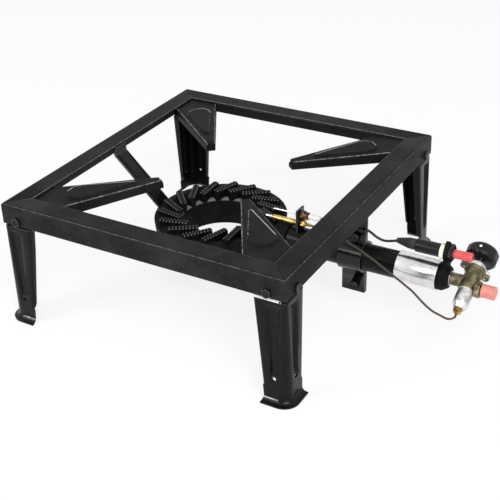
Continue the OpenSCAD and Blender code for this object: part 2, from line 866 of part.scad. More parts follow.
// Casting that closes the tube, with the lug for the igniter above it
module mixer_end() {
    color(iron) difference() {
        union() {
            toward_front(tube_end_y + spigot_len, tube_z)
                cylinder(r = tube_bore_r - spigot_gap, h = spigot_len + over);
            toward_front(tube_end_y, tube_z) rotate_extrude() polygon([
                [0, 0], [tube_r, 0], [tube_r, mixer_len * mixer_rim_share],
                [mixer_nose_r, mixer_len], [0, mixer_len]
            ]);
            toward_front(lug_back_y, tube_z) {
                translate([0, igniter_rise, 0]) linear_extrude(lug_t) hull() {
                    circle(r = lug_r, $fn = 32);
                    translate([0, lug_tip_up]) circle(r = lug_tip_r, $fn = 32);
                }
                translate([-lug_arm_w / 2, 0, 0]) cube([lug_arm_w, igniter_rise - neck_r, lug_t]);
            }
        }
        toward_front(tube_end_y + spigot_len + over, tube_z)
            cylinder(r = jet_r + snug_gap, h = spigot_len + mixer_len + 2 * over);
        toward_front(lug_back_y + over, igniter_z) cylinder(r = neck_r + neck_fit, h = lug_t + 2 * over);
    }
}

// Brass jet that clamps the casting to the valve and blows down the tube
module injector_jet() {
    shank = spigot_len + mixer_len + washer_t + jet_tail;
    color(gold) difference() {
        toward_front(tube_end_y + spigot_len, tube_z) {
            cylinder(r = jet_r, h = shank);
            translate([0, 0, -jet_head_len]) hex_bar(jet_head_r, jet_head_len);
            translate([0, 0, -jet_head_len - jet_nose_len]) rotate_extrude() polygon([
                [0, 0], [jet_nose_r * jet_tip_share, 0], [jet_nose_r, jet_nose_len], [0, jet_nose_len]
            ]);
        }
        toward_front(tube_end_y + spigot_len + jet_head_len + jet_nose_len + over, tube_z)
            cylinder(r = jet_hole_r, h = jet_nose_len);
        toward_front(tube_end_y + spigot_len + jet_head_len + over, tube_z)
            cylinder(r = gas_way_r, h = shank + jet_head_len + 2 * over);
    }
}

module outlet_washer() {
    color(steel) toward_front(mixer_front_y, tube_z) ring(washer_r, jet_r + snug_gap, washer_t);
}

// The valve's own frame: its stem runs up from the tube's axis
module along_stem(at = 0) {
    translate([0, valve_y, tube_z]) rotate([0, 90 - valve_tilt, 0]) translate([0, 0, at]) children();
}

// Round plate with two ears
module eared_plate(r, h) {
    cylinder(r = r, h = h);
    rotate([0, 0, ear_turn]) {
        translate([-ear_out, -ear_web / 2, 0]) cube([2 * ear_out, ear_web, h]);
        for (side = [-1, 1]) {
            translate([side * ear_out, 0, 0]) cylinder(r = ear_r, h = h);
        }
    }
}

module at_ears() {
    rotate([0, 0, ear_turn]) for (side = [-1, 1]) {
        translate([side * ear_out, 0, 0]) children();
    }
}

module valve_body() {
    color(olive) difference() {
        union() {
            along_stem(stem_low) cylinder(r = valve_r, h = flange_high - stem_low);
            along_stem(flange_low) eared_plate(flange_r, flange_high - flange_low);
            toward_front(outlet_y, tube_z) cylinder(r = outlet_r, h = outlet_y - valve_y);
        }
        along_stem(seat_high) cylinder(r = valve_bore_r, h = flange_high - seat_high + over);
        along_stem(seat_low - over) cylinder(r = seat_hole_r, h = seat_high - seat_low + 2 * over);
        along_stem(stem_low - over) cylinder(r = valve_bore_r, h = seat_low - stem_low + over);
        toward_front(outlet_y + over, tube_z) cylinder(r = jet_r + snug_gap, h = jet_tail + over + seat_gap);
        toward_front(outlet_y, tube_z) cylinder(r = gas_way_r, h = outlet_y - valve_y);
        toward_front(inlet_tail_y + snug_gap, inlet_z, inlet_x)
            cylinder(r = inlet_tail_r + snug_gap, h = valve_r);
        along_stem(low_way_along) rotate([90, 0, 0]) cylinder(r = low_way_r, h = valve_r - over);
        along_stem(flange_low - over) at_ears()
            cylinder(r = ear_screw_r + snug_gap, h = flange_high - flange_low + 2 * over);
    }
}

// Cup-shaped plug that opens and shuts the gas, driven by the spindle's square end:
// its side port comes round to the outlet after a quarter turn
module gas_plug() {
    color(gold) along_stem(plug_low) difference() {
        cylinder(r = plug_r, h = plug_high - plug_low);
        translate([-drive_w / 2 - drive_gap, -drive_w / 2 - drive_gap, -over])
            cube([drive_w + 2 * drive_gap, drive_w + 2 * drive_gap, plug_high - plug_low + 2 * over]);
        translate([0, 0, -over]) cylinder(r = plug_cup_r, h = plug_high - plug_low - plug_web + over);
        translate([plug_r + over, 0, -plug_low]) rotate([0, -90, 0])
            cylinder(r = gas_way_r, h = plug_r + over);
    }
}

module bonnet() {
    color(steel) along_stem(flange_high) difference() {
        union() {
            eared_plate(bonnet_r, (bonnet_high - flange_high) / 2);
            cylinder(r = valve_r, h = bonnet_high - flange_high);
            cylinder(r = neck_out_r, h = bonnet_neck - flange_high);
        }
        translate([0, 0, -over]) cylinder(r = spindle_r + run_gap, h = bonnet_neck - flange_high + 2 * over);
        translate([0, 0, -over]) at_ears() cylinder(r = ear_screw_r + bolt_gap, h = bonnet_high);
    }
}

module bonnet_screws() {
    seat = (bonnet_high + flange_high) / 2;
    color(zinc) along_stem(seat) at_ears() {
        cylinder(r = ear_head_r, h = ear_head_h);
        translate([0, 0, flange_low - seat]) cylinder(r = ear_screw_r, h = seat - flange_low + over);
    }
}

// Round spindle with a collar under the bonnet and a square end through the plug
module spindle() {
    color(zinc) {
        along_stem(round_low) cylinder(r = spindle_r, h = stem_high - round_low);
        along_stem(collar_low) cylinder(r = collar_r, h = flange_high - collar_low - slice);
        along_stem(spindle_low) translate([-drive_w / 2, -drive_w / 2, 0])
            cube([drive_w, drive_w, round_low + over - spindle_low]);
    }
}

module thrust_washer() {
    color(steel) along_stem(washer_low)
        ring(valve_bore_r - run_gap, spindle_r + run_gap, washer_high - washer_low);
}

// Points of a coil, its tube and its end caps
coil_steps = 12;
coil_sides = 6;
function coil_at(t, r, turns, h) = [r * cos(360 * turns * t), r * sin(360 * turns * t), h * t];
function unit(v) = v / norm(v);
function tangent(p, k) = unit(p[min(k + 1, len(p) - 1)] - p[max(k - 1, 0)]);
function across(t) = unit(abs(t.z) > 0.9 ? cross(t, [1, 0, 0]) : cross(t, [0, 0, 1]));
function ring_points(p, k, r, sides, inward) =
    let (t = tangent(p, k), u = inward == undef ? across(t) : unit([p[k].x, p[k].y, 0]), v = cross(t, u))
    [for (i = [0 : sides - 1]) p[k] + r * (u * cos(360 * i / sides) + v * sin(360 * i / sides))];

// A round tube of given sides swept along points
module swept(p, r, sides, inward) {
    rings = len(p);
    points = [for (k = [0 : rings - 1]) each ring_points(p, k, r, sides, inward)];
    walls = [for (k = [0 : rings - 2], i = [0 : sides - 1]) each [
        [k * sides + i, (k + 1) * sides + i, k * sides + (i + 1) % sides],
        [k * sides + (i + 1) % sides, (k + 1) * sides + i, (k + 1) * sides + (i + 1) % sides]
    ]];
    start = [for (i = [0 : sides - 1]) i];
    finish = [for (i = [sides - 1 : -1 : 0]) (rings - 1) * sides + i];
    polyhedron(points = points, faces = concat(walls, [start, finish]));
}

// A compression spring standing on its base
module spring(r, wire, turns, h) {
    steps = turns * coil_steps;
    translate([0, 0, wire])
        swept([for (k = [0 : steps]) coil_at(k / steps, r, turns, h - 2 * wire)], wire, coil_sides, true);
}

module spindle_spring() {
    color(steel) along_stem(plug_high)
        spring((spindle_r + valve_bore_r) / 2, spring_wire_r, spring_turns, washer_low - plug_high);
}

// Round knob with a softened rim, bored for the spindle
module knob() {
    color("#101010") along_stem(knob_low) difference() {
        rotate_extrude() polygon([
            [0, 0], [knob_r - knob_round, 0], [knob_r, knob_round], [knob_r, knob_h - knob_round],
            [knob_r - knob_round, knob_h], [0, knob_h]
        ]);
        translate([0, 0, -over]) cylinder(r = spindle_r + snug_gap, h = stem_high - knob_low + over);
        translate([dot_deep - knob_r, 0, knob_h / 2]) rotate([0, -90, 0])
            cylinder(r = dot_r, h = dot_deep + over);
    }
}

// White mark set into the knob's rim
module knob_dot() {
    color("white") along_stem(knob_low) translate([dot_deep - knob_r, 0, knob_h / 2]) rotate([0, -90, 0])
        cylinder(r = dot_r - snug_gap, h = dot_deep - snug_gap);
}

module magnet_cap() {
    color(steel) along_stem(magnet_low) difference() {
        union() {
            cylinder(r = magnet_out_r, h = magnet_len);
            translate([0, 0, magnet_len]) cylinder(r = valve_bore_r - snug_gap, h = magnet_spigot);
        }
        translate([0, 0, magnet_end])
            cylinder(r = magnet_out_r - magnet_wall, h = magnet_len - magnet_end - magnet_neck);
        translate([0, 0, magnet_end]) cylinder(r = disc_r + seat_gap, h = magnet_len);
        translate([0, 0, -over]) cylinder(r = magnet_tail_r + snug_gap, h = magnet_len);
    }
}

module magnet_unit() {
    color(gold) {
        along_stem(magnet_low + magnet_end) cylinder(
            r = magnet_out_r - magnet_wall - snug_gap, h = magnet_top - magnet_low - magnet_end
        );
        along_stem(magnet_low) cylinder(r = magnet_tail_r, h = magnet_end + over);
    }
}

// Disc that shuts the gas off when the flame goes out, with its stem and armature
module safety_disc() {
    color("#55504a") along_stem(0) {
        translate([0, 0, seat_low - disc_t]) cylinder(r = disc_r, h = disc_t);
        translate([0, 0, armature_low]) cylinder(r = disc_stem_r, h = seat_low - armature_low - disc_t / 2);
        translate([0, 0, armature_low]) cylinder(r = armature_r, h = armature_t);
    }
}

module lead_nut() {
    color(gold) along_stem(magnet_low - lead_nut_h) {
        hex_bar(lead_nut_r, lead_nut_h);
        translate([0, 0, -lead_boss_h]) cylinder(r = lead_boss_r, h = lead_boss_h);
    }
}

// Gas inlet: a hexagon and a male thread in front of the valve
module inlet_union() {
    color(olive) difference() {
        union() {
            difference() {
                toward_front(inlet_hex_y, inlet_z, inlet_x) hex_bar(inlet_hex_r, inlet_hex_len);
                along_stem(2 * stem_low) cylinder(r = valve_r, h = flange_high - 2 * stem_low);
            }
            toward_front(inlet_tail_y, inlet_z, inlet_x)
                cylinder(r = inlet_tail_r, h = inlet_tail_y - inlet_hex_y + inlet_hex_len);
            toward_front(inlet_hex_y - inlet_hex_len, inlet_z, inlet_x) cylinder(r = inlet_r, h = inlet_len);
        }
        toward_front(inlet_tail_y + over, inlet_z, inlet_x)
            cylinder(r = inlet_way_r, h = inlet_tail_y - inlet_hex_y + inlet_hex_len + inlet_len + 2 * over);
    }
}

module inlet_cap() {
    color("#ff6a60") difference() {
        toward_front(cap_back_y, inlet_z, inlet_x)
            cylinder(r = inlet_r + cap_wall, h = cap_back_y - cap_end_y);
        toward_front(cap_back_y + over, inlet_z, inlet_x)
            cylinder(r = inlet_r + cap_gap, h = cap_back_y - inlet_end_y + over + seat_gap);
    }
}

// Barrel of the spark igniter: hollow for the button, with a threaded neck and a terminal
module igniter_body() {
    color("#151515") difference() {
        union() {
            toward_front(igniter_back_y, igniter_z) cylinder(r = igniter_r, h = igniter_len);
            toward_front(igniter_front_y, igniter_z) cylinder(r = neck_r, h = neck_len);
            toward_front(igniter_back_y + terminal_len, igniter_z) cylinder(r = terminal_r, h = terminal_len);
        }
        toward_front(igniter_back_y - igniter_end_wall, igniter_z)
            cylinder(r = button_r + run_gap, h = igniter_len + neck_len);
    }
}

module igniter_boot() {
    color("#0c0c0c") difference() {
        toward_front(igniter_back_y + boot_len, igniter_z) rotate_extrude() polygon([
            [0, 0], [boot_end_r, 0], [boot_end_r, boot_len * boot_tail_share],
            [boot_r, boot_len * boot_taper_share], [boot_r, boot_len], [0, boot_len]
        ]);
        toward_front(igniter_back_y + terminal_len + seat_gap, igniter_z)
            cylinder(r = terminal_r + neck_fit, h = terminal_len + seat_gap + over);
    }
}

module igniter_collar() {
    color("#e9e4d4") toward_front(igniter_front_y, igniter_z)
        ring(collar_out_r, neck_r + neck_fit, collar_t);
}

module igniter_lock_nut() {
    color("#16181b") toward_front(lug_back_y - lug_t, igniter_z) difference() {
        hex_bar(lug_r, lock_t);
        translate([0, 0, -over]) cylinder(r = neck_r + neck_fit, h = lock_t + 2 * over);
    }
}

module igniter_button() {
    front = igniter_front_y - neck_len;
    color("#e23b46") toward_front(front + button_in, igniter_z)
        cylinder(r = button_r, h = button_in + button_out);
}

module piezo_element() {
    color("#d8d2c0") toward_front(igniter_back_y - igniter_end_wall, igniter_z)
        cylinder(r = piezo_r, h = piezo_len);
}

module igniter_spring() {
    back = igniter_back_y - igniter_end_wall - piezo_len;
    front = igniter_front_y - neck_len + button_in;
    color(steel) toward_front(back, igniter_z)
        spring(piezo_r - igniter_coil_in, igniter_wire_r, igniter_turns, back - front);
}

// Plate on the tube that carries the thermocouple and the spark electrode
module pilot_bracket() {
    top = spark_z + bracket_over;
    color(paint) difference() {
        toward_front(bracket_y, tube_z) translate([-bracket_w / 2, tube_r / 2, 0])
            cube([bracket_w, top - tube_z - tube_r / 2, bracket_t]);
        toward_front(bracket_y + over, tube_z) cylinder(r = tube_r + snug_gap, h = bracket_t + 2 * over);
        toward_front(bracket_y + over, probe_z)
            cylinder(r = probe_neck_r + snug_gap, h = bracket_t + 2 * over);
        toward_front(bracket_y + over, spark_z)
            cylinder(r = ceramic_r + snug_gap, h = bracket_t + 2 * over);
    }
}

// Thermocouple with its tip over the burner's rim
module thermocouple_head() {
    shoulder = bracket_y + probe_neck_len;
    color(gold) {
        toward_front(shoulder + probe_len + probe_tip_len, probe_z)
            cylinder(r = probe_tip_r, h = probe_tip_len + over);
        toward_front(shoulder + probe_len, probe_z) cylinder(r = probe_r, h = probe_len);
        toward_front(shoulder + over, probe_z)
            cylinder(r = probe_neck_r, h = probe_neck_len + bracket_t + probe_nut_len + over);
        toward_front(bracket_y - bracket_t - probe_nut_len, probe_z)
            cylinder(r = probe_tail_r, h = probe_tail_len);
    }
}

module probe_nut() {
    color(gold) toward_front(bracket_y - bracket_t, probe_z) difference() {
        hex_bar(probe_nut_r, probe_nut_len);
        translate([0, 0, -over]) cylinder(r = probe_neck_r + snug_gap, h = probe_nut_len + 2 * over);
    }
}

module electrode_ceramic() {
    color("#efeee9") toward_front(bracket_y + ceramic_back, spark_z) difference() {
        cylinder(r = ceramic_r, h = ceramic_back + ceramic_front);
        translate([0, 0, -over]) cylinder(r = wire_r + snug_gap, h = ceramic_back + over);
    }
}

// Spark wire, turned down at its tip toward the burner
module electrode_wire() {
    color(steel) {
        toward_front(bracket_y + wire_len, spark_z) cylinder(r = wire_r, h = wire_len);
        translate([0, bracket_y + wire_len - wire_r, spark_z]) rotate([-90 - wire_bend, 0, 0])
            cylinder(r = wire_r, h = wire_tip);
    }
}

module electrode_nut() {
    color("#4c342a") toward_front(bracket_y - bracket_t, spark_z) difference() {
        union() {
            hex_bar(spark_nut_r, spark_nut_len);
            cylinder(r = spark_collar_r, h = spark_nut_len + spark_collar_len);
        }
        translate([0, 0, -over])
            cylinder(r = ceramic_r + snug_gap, h = spark_nut_len + spark_collar_len + 2 * over);
    }
}

// Smooth curve through a route's points
function bend_at(a, b, c, d, t) =
    0.5 * (2 * b + (c - a) * t + (2 * a - 5 * b + 4 * c - d) * t * t + (3 * b - a - 3 * c + d) * t * t * t);
function smooth(p) = [
    for (k = [0 : len(p) - 2], i = [0 : lead_steps - 1])
        bend_at(p[max(k - 1, 0)], p[k], p[k + 1], p[min(k + 2, len(p) - 1)], i / lead_steps),
    p[len(p) - 1]
];

module thermocouple_lead() { color("#a06a4a") swept(smooth(copper_route), copper_r, lead_sides); }
module ignition_lead() { color("#101010") swept(smooth(spark_route), spark_lead_r, lead_sides); }

rail_front();
rail_back();
rail_left();
rail_right();
leg_front_left();
leg_front_right();
leg_back_left();
leg_back_right();
leg_bolts();
leg_nuts();
arm_front_left();
arm_front_right();
arm_back_left();
arm_back_right();
burner_body();
burner_crown();
burner_strip();
strip_screw();
mixing_tube();
clamp_hanger();
clamp_saddle();
clamp_bolts();
clamp_nuts();
air_sleeve();
mixer_end();
injector_jet();
outlet_washer();
valve_body();
gas_plug();
bonnet();
bonnet_screws();
spindle();
thrust_washer();
spindle_spring();
knob();
knob_dot();
magnet_cap();
magnet_unit();
safety_disc();
lead_nut();
inlet_union();
inlet_cap();
igniter_body();
igniter_boot();
igniter_collar();
igniter_lock_nut();
igniter_button();
igniter_spring();
piezo_element();
pilot_bracket();
thermocouple_head();
probe_nut();
electrode_ceramic();
electrode_wire();
electrode_nut();
thermocouple_lead();
ignition_lead();
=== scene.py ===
# %% [markdown]
# # Stock pot range
# A low gas stove: a frame of folded steel on four pressed legs, four arms for the pot, a
# ribbed iron ring burner, and at the front a tube with its valve and spark igniter.
# The construction model is loaded first as a fixed frame. What follows dresses it: some
# of its parts only get a finish, and others are replaced by a finer piece in the same place.

# %% Load the frame
import json
import math

import bmesh
import bpy
from mathutils import Matrix, Vector


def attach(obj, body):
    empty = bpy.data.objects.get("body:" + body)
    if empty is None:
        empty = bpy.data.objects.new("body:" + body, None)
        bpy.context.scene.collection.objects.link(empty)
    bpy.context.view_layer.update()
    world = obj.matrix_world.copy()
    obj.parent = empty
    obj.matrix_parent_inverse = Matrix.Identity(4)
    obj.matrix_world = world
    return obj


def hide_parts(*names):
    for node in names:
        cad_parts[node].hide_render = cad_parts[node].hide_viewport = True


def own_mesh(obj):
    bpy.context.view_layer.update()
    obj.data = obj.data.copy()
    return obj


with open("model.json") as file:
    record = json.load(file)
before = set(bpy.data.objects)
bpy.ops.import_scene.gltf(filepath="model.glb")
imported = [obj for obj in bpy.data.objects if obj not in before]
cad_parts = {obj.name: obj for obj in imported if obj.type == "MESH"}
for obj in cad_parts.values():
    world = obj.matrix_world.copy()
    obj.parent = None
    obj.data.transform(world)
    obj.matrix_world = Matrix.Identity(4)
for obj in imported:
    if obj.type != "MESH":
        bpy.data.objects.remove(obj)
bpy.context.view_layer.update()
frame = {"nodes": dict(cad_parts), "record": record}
mm = 0.001
scene = bpy.context.scene
scene.view_settings.view_transform = "Standard"
print("construction parts:", len(frame["nodes"]))

# %% [markdown]
# ## Camera
# The view looks down on one corner of the frame. Its angles and its place were worked out
# from the frame's four corners and the feet, so that the lines of the rails run as they
# should. A long lens keeps the far legs from looking small.

# %% Place the camera
azimuth, elevation, roll = (math.radians(a) for a in (-58.8349, 30.3984, -2.2329))
back = Vector((math.sin(azimuth) * math.cos(elevation),
               -math.cos(azimuth) * math.cos(elevation), math.sin(elevation)))
right = (-back).cross(Vector((0, 0, 1))).normalized()
up = right.cross(-back)
turned_right = math.cos(roll) * right + math.sin(roll) * up
turned_up = -math.sin(roll) * right + math.cos(roll) * up
lens = bpy.data.cameras.new("view")
lens.lens, lens.sensor_width = 73.785, 36
camera = bpy.data.objects.new("view", lens)
scene.collection.objects.link(camera)
camera.matrix_world = Matrix.Translation((-0.9653, -0.6125, 0.7105)) @ Matrix(
    (turned_right, turned_up, back)).transposed().to_4x4()
scene.camera = camera
print("camera stands at", [round(v, 3) for v in camera.location])

# %% [markdown]
# ## The two leads
# A thin copper tube runs from the safety magnet in a bow past the tube's side and under
# the front rail to the thermocouple. A black wire runs from the igniter's boot to the
# spark electrode. Both are held at their two ends, so each is a curve through a few
# chosen points, sampled finely. The curve's own thickness is one and each point carries
# the real radius, because a curve's box grows by the radius of its points.

# %% Curves for the leads
copper_radius, wire_radius = 1.25 * mm, 1.5 * mm
copper_route = [
    (-40.5, -318, 64.8), (-46, -318, 62.5), (-50, -312, 61.2), (-49, -302, 62.5),
    (-46.5, -291, 64.2), (-43, -279, 69), (-38, -265, 76), (-34, -252, 80.5),
    (-29, -235, 86), (-25.5, -219, 92), (-22.5, -202, 98.5), (-19.5, -187, 103.5),
    (-15, -171, 107), (-8, -152, 109), (-2, -134, 107), (0, -122, 106), (0, -114, 106)]
wire_route = [
    (0, -129, 118), (0, -135, 118), (4, -148, 117.5), (8, -162, 117), (9, -177, 116),
    (8, -190, 112.5), (6, -200, 108.5), (4, -210, 107.5), (1.5, -219, 110.5),
    (0, -226, 113.5), (0, -230, 115)]


def smooth_way(route, steps=8):
    """Points along a smooth curve that passes through every point of a route."""
    knots = [Vector(p) * mm for p in route]
    way = []
    for k in range(len(knots) - 1):
        a, b = knots[max(k - 1, 0)], knots[k]
        c, d = knots[k + 1], knots[min(k + 2, len(knots) - 1)]
        for t in (i / steps for i in range(steps)):
            way.append(0.5 * (2 * b + (c - a) * t + (2 * a - 5 * b + 4 * c - d) * t ** 2
                              + (3 * b - a - 3 * c + d) * t ** 3))
    return way + [knots[-1]]


def lead(name, route, radius, node):
    """A round lead along a route, whose length is printed."""
    way = smooth_way(route)
    curve = bpy.data.curves.new(name, "CURVE")
    curve.dimensions = "3D"
    curve.bevel_depth, curve.bevel_resolution, curve.use_fill_caps = 1.0, 5, True
    spline = curve.splines.new("POLY")
    spline.points.add(len(way) - 1)
    for point, place in zip(spline.points, way):
        point.co, point.radius = (*place, 1), radius
    piece = bpy.data.objects.new(name, curve)
    scene.collection.objects.link(piece)
    length = sum((b - a).length for a, b in zip(way, way[1:]))
    tuple(way[0])
    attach(piece, "stove")
    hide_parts(node)
    print(name, "is", round(length, 4), "m long")
    return piece


copper = lead("copper_line", copper_route, copper_radius, "thermocouple_lead")
wire = lead("spark_wire", wire_route, wire_radius, "ignition_lead")

# %% [markdown]
# ## Floor, backdrop and light
# The stove stands on a plain white floor. The camera and reflections see the world as
# plain white and the floor as mostly plain white, while the rest of the floor is a matt
# surface that takes the stove's shadow. Other rays meet the matt floor and a dimmer
# world. One large soft lamp stands high at the front left, and a smaller one at the back
# left draws a bright band along the tube.

# %% Nodes for every tree


def add_node(tree, kind, settings=None, inputs=None):
    """A node of a tree; an input is a socket, a value, a colour or a plain number."""
    node = tree.nodes.new(kind)
    for key, value in (settings or {}).items():
        setattr(node, key, value)
    for key, value in (inputs or {}).items():
        socket, value = node.inputs[key], getattr(value, "socket", value)
        if isinstance(value, bpy.types.NodeSocket):
            tree.links.new(value, socket)
        else:
            socket.default_value = (*value, 1) if socket.type == "RGBA" else value
    return node


def split_rays(tree, hidden, shown, share, output):
    """Ends a tree: rays that look take a share of the shader shown, the others the hidden one."""
    path = add_node(tree, "ShaderNodeLightPath").outputs
    amount = path["Is Camera Ray"]
    for operation, other in (("MAXIMUM", path["Is Glossy Ray"]),
                             ("MAXIMUM", path["Is Transmission Ray"]), ("MULTIPLY", share)):
        amount = add_node(tree, "ShaderNodeMath", {"operation": operation},
                          {0: amount, 1: other}).outputs[0]
    blend = add_node(tree, "ShaderNodeMixShader",
                     inputs={0: amount, 1: hidden.outputs[0], 2: shown.outputs[0]})
    add_node(tree, output, inputs={"Surface": blend.outputs[0]})


# %% World, floor and lamps
world_light, floor_grey, floor_glow, floor_half = 0.55, 0.93, 0.8, 6.0
world = bpy.data.worlds.new("studio")
scene.world = world
world.use_nodes = True
sky = world.node_tree
sky.nodes.clear()
unseen, seen = (add_node(sky, "ShaderNodeBackground", inputs={
    "Color": (1, 1, 1), "Strength": strength}) for strength in (world_light, 1.0))
split_rays(sky, unseen, seen, 1.0, "ShaderNodeOutputWorld")

floor_mesh = bpy.data.meshes.new("floor")
floor_mesh.from_pydata([(x * floor_half, y * floor_half, 0)
                        for x, y in ((-1, -1), (1, -1), (1, 1), (-1, 1))], [], [(0, 1, 2, 3)])
floor = bpy.data.objects.new("floor", floor_mesh)
scene.collection.objects.link(floor)
floor_paint = bpy.data.materials.new("white floor")
floor_paint.use_nodes = True
ground = floor_paint.node_tree
ground.nodes.clear()
matt = add_node(ground, "ShaderNodeBsdfDiffuse", inputs={"Color": (floor_grey,) * 3})
split_rays(ground, matt, add_node(ground, "ShaderNodeEmission"), floor_glow,
           "ShaderNodeOutputMaterial")
floor_mesh.materials.append(floor_paint)


def soft_lamp(name, place, size, power):
    """A square lamp that faces the stove."""
    light = bpy.data.lights.new(name, "AREA")
    light.size, light.energy = size, power
    lamp = bpy.data.objects.new(name, light)
    scene.collection.objects.link(lamp)
    lamp.location = place
    lamp.rotation_euler = Vector(place).to_track_quat("Z", "Y").to_euler()


soft_lamp("key", (-1.9, -1.9, 2.1), 2.0, 88)
soft_lamp("side", (-2.1, 1.4, 1.5), 1.2, 34)
print("lamps and floor are set")

# %% [markdown]
# ## Writing shaders as sums
# A finish is easier to read as a sum than as a web of boxes. One class stands for a number
# on its way through the shader and knows plus, minus and times.

# %% A number in a shader


class Value:
    """A number of a shader, which can be added, taken away and multiplied."""

    def __init__(self, finish, socket):
        self.finish, self.socket = finish, socket

    def sum(self, operation, first, second):
        node = self.finish.node("ShaderNodeMath", {"operation": operation}, {0: first, 1: second})
        return Value(self.finish, node.outputs[0])

    def __add__(self, other):
        return self.sum("ADD", self, other)

    def __sub__(self, other):
        return self.sum("SUBTRACT", self, other)

    def __rsub__(self, other):
        return self.sum("SUBTRACT", other, self)

    def __mul__(self, other):
        return self.sum("MULTIPLY", self, other)

    __radd__ = __add__

    def step(self, low, high):
        """Zero below low, one above high, and smooth between."""
        node = self.finish.node("ShaderNodeMapRange", {"interpolation_type": "SMOOTHSTEP"},
                                {"Value": self, "From Min": low, "From Max": high})
        return Value(self.finish, node.outputs[0])


# %% [markdown]
# The material is a second class. It turns noise, cells and the mesh's wear and painted
# highlight into such numbers, in millimetres, and gathers the bumps until the finish is done.

# %% A material


class Finish:
    """One material, built up from its colour, its roughness and its surface."""

    def __init__(self, name, metal=0.0, coat=0.0, clear=0.0, specular=0.5):
        self.material = bpy.data.materials.new(name)
        self.material.use_nodes = True
        self.tree = self.material.node_tree
        self.tree.nodes.clear()
        self.place = self.node("ShaderNodeTexCoord").outputs["Object"]
        self.settled = {"Metallic": metal, "Coat Weight": coat, "Coat Roughness": 0.12,
                        "Transmission Weight": clear, "Specular IOR Level": specular}

    def node(self, kind, settings=None, inputs=None):
        return add_node(self.tree, kind, settings, inputs)

    def noise(self, size, detail=2.0, rough=0.5, stretch=(1, 1, 1)):
        """Soft random spots of about the given size in millimetres."""
        way = self.node("ShaderNodeMapping", inputs={"Vector": self.place, "Scale": stretch})
        made = self.node("ShaderNodeTexNoise", inputs={
            "Vector": way.outputs[0], "Scale": 1 / (size * mm), "Detail": detail,
            "Roughness": rough})
        return Value(self, made.outputs[0])

    def cells(self, size):
        """Distance from scattered points, for pits and grains."""
        made = self.node("ShaderNodeTexVoronoi", inputs={
            "Vector": self.place, "Scale": 1 / (size * mm)})
        return Value(self, made.outputs["Distance"])

    def wear(self):
        """How much wear and painted highlight the piece's mesh gives this place."""
        return Value(self, self.node("ShaderNodeAttribute",
                                     {"attribute_name": "wear"}).outputs["Fac"])

    def mix(self, amount, first, second):
        return self.node("ShaderNodeMix", {"data_type": "RGBA"},
                         {0: amount, 6: first, 7: second}).outputs[2]

    def bump(self, height, deep):
        """Raises the surface by a height, whose full range is deep millimetres."""
        inputs = {"Height": height, "Distance": deep * mm, "Strength": 1.0}
        if "Normal" in self.settled:
            inputs["Normal"] = self.settled["Normal"]
        self.settled["Normal"] = self.node("ShaderNodeBump", inputs=inputs).outputs[0]

    def done(self, colour, rough):
        shader = self.node("ShaderNodeBsdfPrincipled", inputs={
            **self.settled, "Base Color": colour, "Roughness": rough})
        self.node("ShaderNodeOutputMaterial", inputs={"Surface": shader.outputs[0]})
        return self.material


# %% Colours from 0 to 255


def shade(red, green, blue):
    """A screen colour from 0 to 255, as the shader wants it."""
    return tuple(c / 255 / 12.92 if c <= 10 else ((c / 255 + 0.055) / 1.055) ** 2.4
                 for c in (red, green, blue))


def grey(tone, tint=0):
    return shade(tone, tone, tone + tint)


finishes = {}
slots = {part["node"]: part["material_slot"] for part in frame["record"]["subparts"]}

# %% [markdown]
# ## Black powder coat and cast iron
# The rails, legs and arms are coated steel. The coat is a satin black with a very fine
# orange-peel surface, dulled in broad patches, and lightened along the folds and edges,
# partly as coat rubbed through to grey and partly as painted highlight. Where this shows
# is told by the mesh: each folded piece carries a value called wear, which also
# holds painted highlights on ledges and rims, and noise breaks it up so that the line isn't
# even. Darker copies of a coat or of the iron stand for painted shade on some pieces. The
# iron of the burner is rougher, with sand grain and pits. The tones run from 0 to 255.

# %% Coated steel and cast iron


def coated_steel(name, clean, dusty, bare_and_highlight=150, gloss=0.03, rough=0.47):
    """A satin coat with its clean and dusty tones, and a bright tone for rubbed places and painted
    highlights.
    """
    finish = Finish(name, specular=gloss)
    patch = finish.noise(45, 4.0, 0.6)
    fine = finish.noise(5, 3.0, 0.6)
    scratch = finish.noise(1.6, 2.0, 0.5, (0.16, 0.16, 1.0))
    grain = finish.noise(1.9, 2.0, 0.6)
    dust = (patch.step(0.4, 0.72) * 0.45 + fine.step(0.45, 0.8) * 0.25
            + grain.step(0.5, 0.75) * 0.45)
    # Where the mesh's value is high the coat takes the bright tone: partly rubbed coat, partly
    # painted highlight.
    rubbed_and_sheen = (finish.wear() + fine * 0.5 - 0.25).step(0.6, 1.0)
    colour = finish.mix(dust, grey(clean, 1), grey(dusty, 1))
    colour = finish.mix(scratch.step(0.66, 0.8) * 0.35, colour, grey(64))
    colour = finish.mix(rubbed_and_sheen, colour, grey(bare_and_highlight, -1))
    finish.bump(finish.noise(0.9, 1.0), 0.05)
    return finish.done(colour, rough - fine * 0.12 + dust * 0.1)


def cast_iron(name, clean, dusty, bright, worn=112, low=0.4, high=1.0):
    """Sand-cast iron, brightened as wear and painted highlight where the mesh's value lies between
    low and high.
    """
    finish = Finish(name, specular=0.08)
    sand = finish.noise(1.4, 3.0, 0.7)
    patch = finish.noise(14, 3.0)
    pits = finish.cells(2.4).step(0.0, 0.35)
    colour = finish.mix(patch.step(0.35, 0.75), grey(clean, 1), grey(dusty))
    colour = finish.mix(sand.step(0.55, 0.75) * 0.5, colour, grey(bright, -1))
    # Where the mesh's value is high the iron takes the bright tone: partly worn iron, partly
    # painted highlight.
    rubbed_and_sheen = (finish.wear() + sand * 0.6 - 0.3).step(low, high)
    colour = finish.mix(rubbed_and_sheen, colour, grey(worn, -2))
    finish.bump(sand, 0.22)
    finish.bump(pits, 0.1)
    return finish.done(colour, 0.5 + sand * 0.2)


